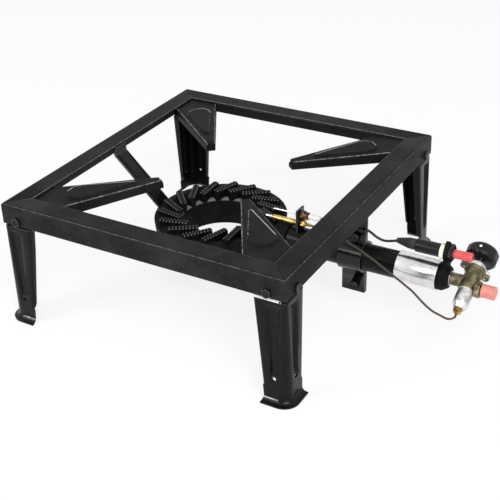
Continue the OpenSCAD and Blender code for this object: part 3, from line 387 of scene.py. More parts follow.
for slot, make_finish, name, *tones in (
        ("black_paint", coated_steel, "black powder coat", 28, 52),
        # The legs' bright tone, 210, serves mostly as the painted highlight on the ledges.
        ("leg_black", coated_steel, "black coat on the legs", 6, 19, 210, 0.17, 0.28),
        # Painted shade: a darker copy of the coat for the legs' inner skins.
        ("inside_black", coated_steel, "black coat inside", 4, 12),
        ("tube_black", coated_steel, "glossy black coat", 7, 18, 120, 0.15, 0.32),
        ("clamp_black", coated_steel, "black coat of the clamp", 6, 16, 130, 0.32, 0.22),
        # The arms' bright tone, 170, serves mostly as the painted highlight on the panel rims.
        ("arm_black", coated_steel, "black coat on the arms", 20, 42, 170),
        ("cast_black", cast_iron, "black cast iron", 14, 42, 66),
        # Painted shade: a darker copy of the cast iron for the burner body, the funnel and the end
        # casting.
        ("sooty_black", cast_iron, "sooty cast iron", 6, 20, 34),
        # Painted shade: the ribs' iron is darker for the dips; its bright tone, 120, is mostly
        # painted highlight on the beads.
        ("rib_black", cast_iron, "iron of the ribs", 4, 14, 30, 120, 0.35, 0.95)):
    finishes[slot] = make_finish(name, *tones)
print("coats ready:", sorted(finishes))

# %% [markdown]
# ## Bare and plated metal
# The sleeve is bright rolled steel, the magnet's cap and the bonnet are a dull alloy, and
# the valve is raw brass, khaki from age. They differ in colour, in how broad the
# reflections are, and in the direction of their fine lines, so one function makes them
# all from those three.

# %% Metals


def metal(name, clean, aged, rough, stretch=(1, 1, 1), grain=0.6, spots=9.0, depth=0.02,
          shine=1.0, aging=0.5, mottle=0.75):
    """Metal of two shades, with fine lines along the axis that is stretched."""
    finish = Finish(name, metal=shine)
    lines = finish.noise(grain, 3.0, 0.6, stretch)
    patch = finish.noise(spots, 3.0)
    aged_here = (patch.step(0.35, 0.7) * mottle + lines * 0.5 - 0.1) * (2 * aging)
    # Edges that the mesh marks turn bright: partly polished wear, partly a painted highlight.
    polished_and_highlight = tuple(min(1.0, 2.0 * c + 0.02) for c in shade(*clean))
    colour = finish.mix(aged_here.step(0.0, 1.0), shade(*clean), shade(*aged))
    colour = finish.mix(finish.wear().step(0.3, 0.9), colour, polished_and_highlight)
    finish.bump(lines, depth)
    return finish.done(colour, rough + lines * 0.16 + patch * 0.1 * mottle - 0.1)


for slot, name, clean, aged, rough, more in (
        ("bright_steel", "bright rolled steel", (236, 236, 238), (150, 151, 154), 0.24,
         {"stretch": (1, 0.03, 1), "grain": 1.2, "mottle": 0.1, "aging": 0.8}),
        ("bright_alloy", "dull silver alloy", (236, 236, 236), (178, 178, 180), 0.33,
         {"depth": 0.03}),
        ("zinc_steel", "zinc plated steel", (196, 198, 202), (140, 142, 146), 0.34, {}),
        ("dark_bolt", "blackened steel", (44, 44, 46), (20, 20, 22), 0.36, {"shine": 0.8}),
        ("olive_brass", "raw cast brass", (138, 130, 103), (74, 69, 53), 0.44,
         {"depth": 0.08, "grain": 1.1}),
        ("gold_brass", "turned brass", (216, 182, 112), (140, 106, 56), 0.28,
         {"stretch": (1, 0.2, 1)}),
        ("brown_brass", "browned brass", (136, 104, 86), (58, 44, 38), 0.34, {}),
        ("copper_tube", "drawn copper tube", (80, 78, 69), (98, 68, 64), 0.4,
         {"spots": 40, "aging": 0.6})):
    finishes[slot] = metal(name, clean, aged, rough, **more)
print("finishes so far:", len(finishes))

# %% [markdown]
# ## Plastic, rubber, ceramic and paint
# These are plain coloured bodies with a soft or a glossy skin. A little noise in colour
# and roughness keeps them from looking like one flat colour, and the inlet's cap lets
# some light through, because it is thin and soft.

# %% Non-metals


def moulded(name, light, dark, rough, coat=0.0, depth=0.03, clear=0.0, gloss=0.5):
    """A moulded or painted body of two close shades."""
    finish = Finish(name, coat=coat, clear=clear, specular=gloss)
    patch = finish.noise(6.0, 3.0)
    skin = finish.noise(0.8, 2.0)
    pale = tuple(min(1.0, c * 1.3 + 0.12) for c in shade(*light))
    rubbed_and_sheen = (finish.wear() + patch * 0.4 - 0.2).step(0.5, 1.1) * 0.5
    colour = finish.mix(patch.step(0.3, 0.7), shade(*light), shade(*dark))
    colour = finish.mix(rubbed_and_sheen, colour, pale)
    finish.bump(skin, depth)
    return finish.done(colour, rough + patch * 0.12 - 0.05)


for slot, name, light, dark, rough, more in (
        ("black_plastic", "black plastic", (9, 9, 10), (5, 5, 6), 0.24, {"gloss": 0.3}),
        ("black_rubber", "black rubber", (26, 26, 26), (15, 15, 15), 0.6, {"depth": 0.06}),
        ("ivory_plastic", "ivory plastic", (236, 230, 208), (214, 204, 176), 0.4, {}),
        ("red_plastic", "red plastic", (214, 76, 76), (194, 56, 60), 0.25, {"coat": 0.5}),
        ("pink_plastic", "soft pink plastic", (222, 144, 128), (214, 126, 110), 0.35,
         {"clear": 0.15}),
        ("white_paint", "white paint", (246, 246, 244), (228, 228, 226), 0.4, {}),
        ("white_ceramic", "glazed ceramic", (244, 243, 238), (224, 222, 214), 0.22,
         {"coat": 0.6})):
    finishes[slot] = moulded(name, light, dark, rough, **more)
print("all finishes:", len(finishes))

# %% [markdown]
# ## Making and dressing a piece
# Every new piece is drawn in millimetres where it stands, so its object stays at the
# origin. Most pieces are rows of points with faces between them, so one function fills in
# the faces. Dressing a piece gives it smooth shading with sharp folds, its finish, the
# body it moves with, and the construction part that it stands for.

# %% Faces between rows


def strips(starts, count, closed=False):
    """Faces between rows of count points; starts holds the number of each row's first."""
    return [(a + i, b + i, b + (i + 1) % count, a + (i + 1) % count)
            for a, b in zip(starts, starts[1:]) for i in range(count if closed else count - 1)]


def bar(rows, count, first=0):
    """Faces of a bar: closed rows of points, and a lid on the first and the last row."""
    starts = [first + k * count for k in range(rows)]
    lids = [tuple(range(start, start + count)) for start in (starts[0], starts[-1])]
    return strips(starts, count, closed=True) + lids


# %% Helpers for pieces


def new_piece(name, points, faces, wear=None):
    """A mesh object from points in millimetres."""
    mesh = bpy.data.meshes.new(name)
    mesh.from_pydata([Vector(p) * mm for p in points], [], faces)
    if wear:
        mesh.attributes.new("wear", "FLOAT", "POINT").data.foreach_set("value", wear)
    piece = bpy.data.objects.new(name, mesh)
    scene.collection.objects.link(piece)
    return piece


def tidy(piece, recalculate=True):
    """Merges doubles, drops what has no area, and points the faces outwards."""
    work = bmesh.new()
    work.from_mesh(piece.data)
    bmesh.ops.remove_doubles(work, verts=work.verts, dist=0.002 * mm)
    bmesh.ops.dissolve_degenerate(work, edges=work.edges, dist=0.001 * mm)
    if recalculate:
        bmesh.ops.recalc_face_normals(work, faces=work.faces)
    work.to_mesh(piece.data)
    work.free()


def settle(piece):
    """Turns a piece with its modifiers into a plain mesh."""
    graph = bpy.context.evaluated_depsgraph_get()
    mesh = bpy.data.meshes.new_from_object(piece.evaluated_get(graph))
    piece.modifiers.clear()
    piece.data = mesh


def dress(piece, slot, body, *stands_for, angle=35, finish=None):
    """Shading, a finish named by the slot, body and construction parts; a finish of False stays as
    it is.
    """
    mesh = piece.data
    if finish is not False:
        mesh.materials.clear()
        mesh.materials.append(finishes[finish or slot])
        mesh.polygons.foreach_set("material_index", [0] * len(mesh.polygons))
    mesh.shade_smooth()
    mesh.set_sharp_from_angle(angle=math.radians(angle))
    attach(piece, body)
    if stands_for:
        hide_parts(*stands_for)
    print(piece.name, len(mesh.polygons), "faces on", body)
    return piece


for line, slot in ((copper, "copper_tube"), (wire, "black_rubber")):
    line.data.materials.append(finishes[slot])

# %% [markdown]
# ## Frame rails
# Each rail is a folded angle: a flat top, a rounded fold and an outer face, cut at 45
# degrees where two rails meet. A profile swept along a straight line gives it. The two
# ends are drawn in a little just before the cut, so that a fine seam shows at each
# corner, and the fold and the free edges carry a light line: partly rubbed coat, partly
# painted highlight.

# %% Rounded outlines


def rounded(corners, steps=4):
    """Points along an outline whose corners (x, y, radius) are rounded."""
    points = []
    for k, (x, y, radius) in enumerate(corners):
        here = Vector((x, y))
        sides = [Vector(corners[j % len(corners)][:2]) - here for j in (k - 1, k + 1)]
        lengths = [side.length for side in sides]
        if radius <= 0 or min(lengths) < 1e-6:
            points.append((x, y))
            continue
        spread = sides[0].angle(sides[1])
        reach = min(radius / max(math.tan(spread / 2), 1e-6), *(0.49 * s for s in lengths))
        start, end = (here + side / size * reach for side, size in zip(sides, lengths))
        for i in range(steps + 1):
            t = i / steps
            points.append(tuple((1 - t) ** 2 * start + 2 * t * (1 - t) * here + t * t * end))
    return points


# %% Rails
half_x, half_y, top_z, foot_z = 200.0, 190.0, 160.0, 133.5
rail_top, rail_wall, fold_r, rail_straight = 27.0, 3.0, 3.5, 30.0
mitre_gap, seam_inset, seam_pinch, seam_wear = 0.12, 0.5, 0.35, 0.55


def rail_profile():
    """Outline of a rail as (distance from the outer face, height, wear and painted highlight)."""
    bend = [(fold_r - fold_r * math.sin(a), top_z - fold_r + fold_r * math.cos(a))
            for a in (math.radians(15 * i) for i in range(7))]
    outline = [(rail_top - 0.1, top_z - 0.55, 0.4), (rail_top - 0.35, top_z - 0.15, 1.0),
               (rail_top - 0.8, top_z, 0.5), (rail_top - 1.6, top_z, 0.0)]
    outline += [(fold_r + 2.5, top_z, 0.0)]
    # The middle of the fold is lightened: partly rubbed coat, partly painted highlight.
    outline += [(x, z, 0.85 if i == 3 else 0.0)
                for i, (x, z) in enumerate(bend)]
    outline += [(0.0, foot_z + 1.4, 0.0), (0.0, foot_z + 0.5, 0.25), (0.3, foot_z, 0.4),
                (rail_wall - 0.4, foot_z, 0.2), (rail_wall, foot_z + 0.4, 0.0),
                (rail_wall, top_z - rail_wall - 1.0, 0.0),
                (rail_wall + 1.0, top_z - rail_wall, 0.0),
                (rail_top - 0.4, top_z - rail_wall, 0.0), (rail_top, top_z - rail_wall + 0.4, 0.2)]
    return outline


def rail(name, node, length_half, place):
    """A rail whose ends are cut at 45 degrees; place turns (along, inset, z) into x, y, z."""
    outline = rail_profile()
    middle = Vector((rail_wall / 2 + 3, top_z - rail_wall / 2 - 3))
    ends = [(seam_pinch, mitre_gap), (0.0, mitre_gap + seam_inset)]
    stations = [(-1, *end) for end in ends]
    stations += [(s, 0.0, None) for s in (-0.8, -0.5, -0.2, 0.2, 0.5, 0.8)]
    stations += [(1, *end) for end in reversed(ends)]
    points, wear = [], []
    for side, pinch, inset in stations:
        for x, z, worn in outline:
            draw = (middle - Vector((x, z))).normalized() * pinch
            along = side * (length_half - (rail_straight if inset is None else x + inset))
            points.append(place(along, x + draw.x, z + draw.y))
            wear.append(max(worn, seam_wear if pinch else 0.0))
    piece = new_piece(name, points, bar(len(stations), len(outline)), wear)
    tidy(piece)
    return dress(piece, "black_paint", "stove", node, angle=50)


rail("front_rail", "rail_front", half_x, lambda a, x, z: (a, x - half_y, z))
rail("back_rail", "rail_back", half_x, lambda a, x, z: (a, half_y - x, z))
rail("left_rail", "rail_left", half_y, lambda a, x, z: (x - half_x, a, z))
rail("right_rail", "rail_right", half_y, lambda a, x, z: (half_x - x, a, z))

# %% [markdown]
# ## Legs
# A leg is one pressed sheet: a corner fold, a step that tucks its top behind the rail, a
# tapering groove on each face with a small hole at its end, folded-in side flanges and a
# flared foot. The outer skin is a grid: a path across the sheet, repeated at many
# heights. The path is drawn first, with u and v measured inwards from the rail's corner.

# %% Shape of a leg's sheet
knee_z, knee_step, ankle_z = 130.0, 3.05, 9.0
lean, leg_wide, leg_taper, corner_bend = 3.2, 39.5, 11.7, 5.5
lip_reach, lip_r, groove_deep, flange_r = 6.8, 6.5, 3.2, 3.0
groove_at, hole_z, hole_r, leg_wall = 15.3, 31.6, 2.4, 2.5


def clamp(t):
    return min(max(t, 0.0), 1.0)


def ease(t):
    t = clamp(t)
    return t * t * (3 - 2 * t)


def leg_row(z, curl):
    """The sheet's path at one height, as (u, v, wear and painted highlight) in the corner's own
    frame.
    """
    if z > knee_z:
        inset, edge, bend = knee_step * ease((z - knee_z) / 3.2), leg_wide, corner_bend
    else:
        down, out = clamp((knee_z - z) / (knee_z - ankle_z)), 1 - math.cos(curl)
        inset = -lean * down - lip_reach * out
        edge = leg_wide - leg_taper * down + 1.6 * out
        bend = corner_bend + 6.5 * down + 7.0 * out
    flange = ease((z - 20) / 6) * clamp((131 - z) / 3)
    curve = flange_r * min(1.0, 4 * flange)
    wide = 5.2 + 3.8 * clamp((z - 40) / 85)
    deep = groove_deep * ease((126 - z) / 7) * ease((z - 31) / 7)
    # Painted highlight: the step's ledge under the rail is painted bright, as if it caught the
    # light.
    ledge_highlight = 1.0 if knee_z + 0.3 < z < knee_z + 3.1 else 0.0
    # Painted highlight: a bright line along the middle of the foot's curl.
    line = 0.8 if 0.3 < curl < 0.6 else 0.0
    side = []
    for depth in (9.0, 8.6, 6.0, curve):
        deepest = depth * (0.6 + 0.4 * clamp((z - 22) / 80))
        side.append((edge, inset + max(deepest * flange, curve * min(1, flange * 4)), 0.0))
    for a in (math.radians(22.5 * i) for i in range(1, 5)):
        side.append((edge - curve + curve * math.cos(a), inset + curve - curve * math.sin(a),
                     0.3 if 22 < math.degrees(a) < 70 else 0.0))
    side.append(((edge - curve + groove_at + wide) / 2, inset, 0.0))
    for q in (1, 0.86, 0.72, 0.6, 0.5, 0.25, 0, -0.25, -0.5, -0.6, -0.72, -0.86, -1):
        side.append((groove_at + q * wide, inset + deep * ease((1 - abs(q)) / 0.42), 0.0))
    side = [(u, v, max(w, ledge_highlight, line)) for u, v, w in side]
    turn = []
    for a in (math.radians(11.25 * i) for i in range(9)):
        turn.append((inset + bend - bend * math.sin(a), inset + bend - bend * math.cos(a), 0.0))
    # The face under the front or back rail gets only 0.3 of the painted highlight and wear.
    row = [(u, v, 0.3 * w) for u, v, w in side] + turn
    return row + [(v, u, w) for u, v, w in reversed(side)]


# %% [markdown]
# The rows are then placed in each of the four corners. Solidify gives the skin its wall,
# with a darker copy of the coat inside as painted shade, and a drill is cut through each face.

# %% Press the legs


def leg(name, node, sx, sy):
    heights = [156.3, 148, 140, 134.6, 133.4, 132.8, 132.2, 131.6, 131.0, 130.4, 130, 129]
    heights += [127, 125, 123, 121, 119, 117, 112, 100, 88, 76, 64, 52, 44, 41, 39, 37, 35]
    heights += [33.5, 32, 30, 28, 26, 24, 22, 21, 18, 14, 11.5]
    rows = [(z, 0.0) for z in heights]
    rows += [(ankle_z - lip_r * math.sin(c), c) for c in (math.radians(10 * i) for i in range(10))]

    def place(u, v, z):
        return (sx * (half_x - u), sy * (half_y - v), z)

    points, wear = [], []
    for z, curl in rows:
        for u, v, worn in leg_row(z, curl):
            points.append(place(u, v, z))
            # The ledge's painted highlight is dimmer on the back legs.
            wear.append(worn * (0.6 if z > knee_z and sy > 0 else 1.0))
    count = len(points) // len(rows)
    faces = strips(range(0, len(points), count), count)
    piece = new_piece(name, points, [f[::-1] for f in faces] if sx * sy > 0 else faces, wear)
    tidy(piece, recalculate=False)
    # The inner skin gets the darker coat as painted shade.
    for coat in ("leg_black", "inside_black"):
        piece.data.materials.append(finishes[coat])
    thick = piece.modifiers.new("wall", "SOLIDIFY")
    thick.thickness, thick.offset, thick.material_offset = leg_wall * mm, -1.0, 1
    ring = [math.radians(15 * i) for i in range(24)]
    drill = [(groove_at + hole_r * math.cos(a), depth, hole_z + hole_r * math.sin(a))
             for depth in (-8.0, 12.0) for a in ring]
    cutter = new_piece(name + "_drill", [place(u, v, z) for u, v, z in drill]
                       + [place(v, u, z) for u, v, z in drill],
                       bar(2, len(ring)) + bar(2, len(ring), len(drill)))
    tidy(cutter)
    cut = piece.modifiers.new("holes", "BOOLEAN")
    cut.operation, cut.solver, cut.object = "DIFFERENCE", "EXACT", cutter
    settle(piece)
    bpy.data.objects.remove(cutter)
    return dress(piece, "black_paint", "stove", node, angle=40, finish=False)


corners = [(f"{depth}_{across}", sx, sy) for across, sx in (("left", -1), ("right", 1))
           for depth, sy in (("front", -1), ("back", 1))]
for corner, sx, sy in corners:
    leg(f"pressed_leg_{corner}", f"leg_{corner}", sx, sy)

# %% [markdown]
# ## Leg bolts
# Eight equal bolts hold the legs to the rails. One head is drawn, with its chamfered
# crown and washer face, and Geometry Nodes puts a copy on each of eight points, turned to
# face the way that the point's direction says. The copies are made real at the end.

# %% Turned shapes


def turned(outline, place, sides=48, closed=False, first=0, reach=lambda radius, angle: radius):
    """Points and faces of a shape turned about the z axis of a place.
    The outline is (height, radius) or (height, radius, apothem of a hexagon)."""
    points = []
    for height, radius, *flat in outline:
        for a in (2 * math.pi * i / sides for i in range(sides)):
            size = reach(radius, a)
            if flat:
                size = min(size, flat[0] / math.cos(a % (math.pi / 3) - math.pi / 6))
            points.append(place @ Vector((size * math.cos(a), size * math.sin(a), height)))
    starts = [first + k * sides for k in range(len(outline))]
    return points, strips(starts + starts[:1] if closed else starts, sides, closed=True)


def turned_piece(name, outline, place, sides=48, closed=False, worn=(), bore=(), **more):
    """A turned piece; an outline that ends on the axis is closed there, and one with a
    bore is joined to it at its first point."""
    points, faces = turned(outline, place, sides, closed, **more)
    inner_points, inner_faces = turned(bore, place, sides, first=len(points))
    wear = [1.0 if k in worn else 0.0
            for k in range(len(outline) + len(bore)) for _ in range(sides)]
    piece = new_piece(name, points + inner_points, faces + inner_faces, wear)
    tidy(piece)
    return piece


def lathe(name, node, slot, outline, place, sides=48, angle=30, body="stove", finish=None, **more):
    """A turned piece with its finish, in the place of a construction part."""
    piece = turned_piece(name, outline, place, sides, **more)
    return dress(piece, slot, body, node, angle=angle, finish=finish)


def toward_front(y, z, x=0.0):
    """A place whose own z axis runs to the front."""
    return Matrix.Translation((x, y, z)) @ Matrix(((1, 0, 0), (0, 0, -1), (0, 1, 0))).to_4x4()


def hex_head(radius, height):
    """Outline of a hexagon head that stands on its base, with a chamfered crown."""
    flat = radius * math.cos(math.pi / 6)
    return [(0, 0), (0, flat * 0.94), (0.25, flat * 0.97), (0.45, radius, flat),
            (height - 0.07 * radius, radius, flat), (height - 0.12, flat * 0.93),
            (height, flat * 0.86), (height - 0.2, flat * 0.55), (height - 0.25, 0)]


# %% Bolts on the legs


def node_tree(name, inputs):
    """A Geometry Nodes tree with named inputs; returns it, its maker and its sockets."""
    tree = bpy.data.node_groups.new(name, "GeometryNodeTree")
    sockets = {label: tree.interface.new_socket(label, in_out="INPUT", socket_type=kind).identifier
               for label, kind in inputs}
    tree.interface.new_socket("Geometry", in_out="OUTPUT", socket_type="NodeSocketGeometry")
    entry = tree.nodes.new("NodeGroupInput")

    def make(kind, settings=None, inputs=None):
        return add_node(tree, kind, settings, inputs)

    return tree, make, entry, sockets


def finish_tree(tree, make, entry, geometry):
    """Ends a tree in real, finished geometry."""
    real = make("GeometryNodeRealizeInstances", inputs={0: geometry})
    coated = make("GeometryNodeSetMaterial", inputs={
        0: real.outputs[0], "Material": entry.outputs["Finish"]})
    make("NodeGroupOutput", inputs={0: coated.outputs[0]})


def grow(piece, tree, values):
    """Runs a tree on a piece and keeps the result as its mesh."""
    modifier = piece.modifiers.new("grow", "NODES")
    modifier.node_group = tree
    for identifier, value in values.items():
        modifier[identifier] = value
    settle(piece)


bolt_tree, make, entry, keys = node_tree("bolts on points", [
    ("Geometry", "NodeSocketGeometry"), ("Head", "NodeSocketObject"),
    ("Size", "NodeSocketFloat"), ("Finish", "NodeSocketMaterial")])
head = make("GeometryNodeObjectInfo", inputs={"Object": entry.outputs["Head"]})
facing = make("GeometryNodeInputNamedAttribute", {"data_type": "FLOAT_VECTOR"}, {"Name": "facing"})
aim = make("FunctionNodeAlignRotationToVector", {"axis": "Z"}, {"Vector": facing.outputs[0]})
placed = make("GeometryNodeInstanceOnPoints", inputs={
    "Points": entry.outputs["Geometry"], "Instance": head.outputs["Geometry"],
    "Rotation": aim.outputs[0], "Scale": entry.outputs["Size"]})
finish_tree(bolt_tree, make, entry, placed.outputs[0])

bolt_in, bolt_z, head_r, head_h = 22.0, 140.0, 5.76, 4.05
# Rows 4 and 5, the head's top edge, get a light ring: partly wear, partly painted highlight.
bolt_head = turned_piece("bolt_head_form", hex_head(head_r, head_h), Matrix.Identity(4), 36,
                         worn=(4, 5))
spots, facings = [], []
for sx in (-1, 1):
    for sy in (-1, 1):
        spots += [(sx * half_x, sy * (half_y - bolt_in), bolt_z),
                  (sx * (half_x - bolt_in), sy * half_y, bolt_z)]
        facings += [(sx, 0, 0), (0, sy, 0)]
leg_bolts = new_piece("hex_heads", spots, [])
leg_bolts.data.attributes.new("facing", "FLOAT_VECTOR", "POINT").data.foreach_set(
    "vector", [c for f in facings for c in f])
grow(leg_bolts, bolt_tree, {keys["Head"]: bolt_head, keys["Size"]: 1.0,
                            keys["Finish"]: finishes["dark_bolt"]})
bpy.data.objects.remove(bolt_head)
dress(leg_bolts, "dark_bolt", "stove", "leg_bolts", angle=30)

# %% [markdown]
# ## Pot arms
# An arm is a folded tray that narrows to a blunt tip. Its top carries a raised panel, a
# rounded triangle pressed up from below, whose rim carries a painted highlight, brightest on
# the side turned away from shaded_way. Lengths along the arm run from the tip to the rail's
# corner.

# %% Shape of an arm
arm_tip, arm_way = Vector((142, 130)), Vector((-95, -83)).normalized()
arm_long, arm_z, arm_fold, arm_wall = 140.0, 157.0, 2.6, 2.2
tip_half, root_half, arm_reach = 6.0, 28.28, 126.15
panel_core = [Vector(p) for p in ((33.5, 0), (95, 14), (104, 12.6), (111, 6), (111.5, -7),
                                  (105, -12.4), (96, -13.4))]
# The panel's painted highlight is brightest on the side turned away from shaded_way.
panel_round, panel_rise, shaded_way = 4.2, 2.0, Vector((0.855, 0.517))
steps_long, steps_wide = 122, 36


def from_panel(s, w):
    """Distance from the raised panel's outline, less than zero inside."""
    point, nearest, inside = Vector((s, w)), 1e9, True
    for a, b in zip(panel_core, panel_core[1:] + panel_core[:1]):
        edge, way = b - a, point - a
        nearest = min(nearest, (way - clamp(way.dot(edge) / edge.dot(edge)) * edge).length)
        inside = inside and edge.x * way.y - edge.y * way.x <= 0
    return (-nearest if inside else nearest) - panel_round


def arm_half(s):
    return tip_half + (root_half - tip_half) * s / arm_reach


# %% [markdown]
# Each row across the tray is a folded wall, the top and the other wall. The top is a fine
# grid, lifted where it lies inside the panel. It bends down at the tip, where a flap goes
# on below it, and ends in a narrow tongue under the rail.

# %% Fold the arms


def arm(name, node, sx, sy):
    across = Vector((-arm_way.y, arm_way.x))

    def place(s, w, z):
        spot = arm_tip + s * arm_way + w * across
        return (sx * (half_x - spot.x), sy * (half_y - spot.y), z)

    points, wear = [], []
    rows = [arm_fold * (1 - math.cos(math.radians(a))) for a in (0, 22.5, 45, 67.5)]
    rows += [arm_fold + (arm_long - arm_fold) * i / steps_long for i in range(steps_long + 1)]
    rows += [arm_long + tail for tail in (0.4, 6, 12, 18, 24)]
    for s in rows:
        half, low = arm_half(s), 11 + 3 * s / arm_reach
        if s > arm_long:
            half, low = half - 1.05 * (s - arm_long), arm_fold + 0.6
        side = [(half, arm_z - low + 0.3, 0.6), (half, arm_z - low * 0.6, 0.0),
                (half, arm_z - arm_fold, 0.0)]
        # The fold along each wall carries a light line: partly rubbed coat, partly painted
        # highlight.
        side += [(half + arm_fold * (math.cos(a) - 1), arm_z + arm_fold * (math.sin(a) - 1), worn)
                 for a, worn in ((math.radians(22.5), 0.1), (math.radians(45), 0.75),
                                 (math.radians(67.5), 0.75))]
        drop = arm_fold - math.sqrt(max(arm_fold ** 2 - max(arm_fold - s, 0) ** 2, 0))
        top = []
        for i in range(steps_wide + 1):
            w = (half - arm_fold) * (2 * i / steps_wide - 1)
            gap, lit = from_panel(s, w), 0.0
            # Painted highlight along the panel's rim, brightest where its slope turns away from
            # shaded_way.
            if -4.4 < gap < 0.6:
                slope = Vector((from_panel(s + 0.5, w) - gap, from_panel(s, w + 0.5) - gap))
                away = slope.x * arm_way + slope.y * across
                away = ease(0.5 - 2 * (sx * away.x * shaded_way.x + sy * away.y * shaded_way.y))
                lit = max(0.0, 1 - abs(gap + 1.2 + 1.4 * away) / 1.6) * (0.35 + 0.65 * away)
            top.append((w, arm_z - drop + panel_rise * ease((0.4 - gap) / 2.4), 1.3 * lit))
        for w, z, worn in [(-w, z, worn) for w, z, worn in side] + top + side[::-1]:
            points.append(place(s, w, min(z, arm_z - drop) if drop else z))
            wear.append(worn)
    count = len(points) // len(rows)
    faces = strips(range(0, len(points), count), count)
    flap_starts = [len(side)]
    for k, (s, z, worn) in enumerate(((0.0, arm_z - 4.2, 0.0), (0.0, arm_z - 6.0, 0.0),
                                      (0.0, arm_z - 9.0, 0.1), (0.1, arm_z - 10.7, 0.3))):
        wide = arm_half(0) - arm_fold + (arm_fold - 0.3) * ease((k + 1) / 2)
        flap_starts.append(len(points))
        for i in range(steps_wide + 1):
            points.append(place(s, (2 * i / steps_wide - 1) * wide, z))
            wear.append(worn)
    faces += strips(flap_starts, steps_wide + 1)
    piece = new_piece(name, points, [f[::-1] for f in faces] if sx * sy < 0 else faces, wear)
    tidy(piece, recalculate=False)
    thick = piece.modifiers.new("wall", "SOLIDIFY")
    thick.thickness, thick.offset = arm_wall * mm, -1.0
    settle(piece)
    return dress(piece, "black_paint", "stove", node, angle=45, finish="arm_black")


for corner, sx, sy in corners:
    arm(f"pot_arm_{corner}", f"arm_{corner}", sx, sy)

# %% [markdown]
# ## Burner crown
# The crown is a shallow iron funnel with 18 slanting ribs. Each rib is a bar whose section
# swells and shrinks along the way, so that its edges read as two rows of small beads with
# dips between them. The beads and the rib tops are lightened, partly as worn iron and partly
# as painted highlight, and the ribs' iron is darker as painted shade in the dips. The funnel
# is turned first.

# %% Funnel of the crown
burner_y, crown_r, crown_hole = 12.6, 84.6, 51.7
crown_outline = rounded([
    (81.2, crown_hole, 0), (81.2, 57, 0), (83.5, 57, 0), (88.5, 78.4, 0), (91.0, 78.4, 0),
    (91.0, crown_r, 0.3), (91.5, crown_r, 0.5), (93.4, 74.0, 3.0), (86.4, 57.5, 0),
    (86.0, 56.0, 0), (85.4, crown_hole, 1.0)])
# The funnel takes the darker iron as painted shade; its inner lip is lightened, partly as wear and
# partly as painted highlight.
lathe("crown_funnel", "burner_crown", "cast_black", crown_outline,
      Matrix.Translation((0, burner_y, 0)), 144, angle=40, finish="sooty_black", closed=True,
      worn=range(len(crown_outline) - 6, len(crown_outline)))

# %% [markdown]
# One rib is drawn, slanting as it lies at the first place. Geometry Nodes makes a point
# for each rib, turns a copy to each and moves the ring to the burner.

# %% One rib
rib_count, rib_width, rib_low, rib_top = 18, 8.6, 84.5, 98.5
rib_start, rib_end = Vector((78.8, -6.4)), Vector((48.3, 17.1))
beads, section_steps, pit_depth = 9, 6, 2.2


def rib_section(swell):
    """Half outline of a rib with its wear and painted highlight, from its foot to the middle of
    its top.
    """
    half, pit = rib_width / 2 * (0.9 + 0.1 * swell), pit_depth * (1 - swell)
    return [(half, rib_low, 0), (half, rib_top - 2.1, 0),
            (half * 0.93, rib_top - 0.3 - 0.3 * pit, 0.9 * swell),
            (half * 0.84, rib_top - 0.5 * pit, swell), (half * 0.74, rib_top - pit, swell * 0.8),
            (half * 0.4, rib_top - pit, swell * 0.6), (half * 0.26, rib_top, 0.45),
            (0.0, rib_top, 0.4)]


def rib_form():
    way = rib_end - rib_start
    length, way = way.length, way.normalized()
    side = Vector((-way.y, way.x))
    stations = beads * section_steps
    points, wear = [], []
    for k in range(stations + 1):
        t = k / stations
        ends = min(1.0, t / 0.05 + 0.45, (1 - t) / 0.05 + 0.45)
        half_outline = rib_section(0.5 - 0.5 * math.cos(2 * math.pi * beads * t))
        outline = [(-w, z, worn) for w, z, worn in half_outline] + half_outline[-2::-1]
        for w, z, worn in outline:
            spot = rib_start + way * length * t + side * w * ends
            points.append((spot.x, spot.y, z - (1 - ends) * 1.2 * (z > 90)))
            wear.append(worn)
    piece = new_piece("rib_form", points, bar(stations + 1, len(outline)), wear)
    tidy(piece)
    return piece


# %% Ribs round the ring
ring_tree, make, entry, keys = node_tree("ribs round a ring", [
    ("Geometry", "NodeSocketGeometry"), ("Rib", "NodeSocketObject"), ("Count", "NodeSocketInt"),
    ("First turn", "NodeSocketFloat"), ("Middle", "NodeSocketVector"),
    ("Finish", "NodeSocketMaterial")])
rib = make("GeometryNodeObjectInfo", inputs={"Object": entry.outputs["Rib"]})
dots = make("GeometryNodePoints", inputs={"Count": entry.outputs["Count"]})
step = make("ShaderNodeMath", {"operation": "DIVIDE"}, {0: 2 * math.pi, 1: entry.outputs["Count"]})
number = make("GeometryNodeInputIndex")
turn = make("ShaderNodeMath", {"operation": "MULTIPLY_ADD"}, {
    0: number.outputs[0], 1: step.outputs[0], 2: entry.outputs["First turn"]})
spin = make("ShaderNodeCombineXYZ", inputs={"Z": turn.outputs[0]})
rotation = make("FunctionNodeEulerToRotation", inputs={0: spin.outputs[0]})
ring = make("GeometryNodeInstanceOnPoints", inputs={
    "Points": dots.outputs[0], "Instance": rib.outputs["Geometry"],
    "Rotation": rotation.outputs[0]})
moved = make("GeometryNodeTransform", inputs={
    "Geometry": ring.outputs[0], "Translation": entry.outputs["Middle"]})
finish_tree(ring_tree, make, entry, moved.outputs[0])

one_rib = rib_form()
ribs = new_piece("crown_ribs", [(0, 0, 0)], [])
grow(ribs, ring_tree, {
    keys["Rib"]: one_rib, keys["Count"]: rib_count, keys["First turn"]: math.pi,
    keys["Middle"]: (0, burner_y * mm, 0), keys["Finish"]: finishes["rib_black"]})
bpy.data.objects.remove(one_rib)
dress(ribs, "cast_black", "stove", angle=60, finish="rib_black")

# %% [markdown]
# ## Castings
# The casting at the tube's end, the valve and its bonnet are rough castings with soft
# edges. The construction model has sharp ones. A voxel remesh of a copy rounds every edge
# by about one voxel, and a few rounds of smoothing finish it.

# %% Cast pieces


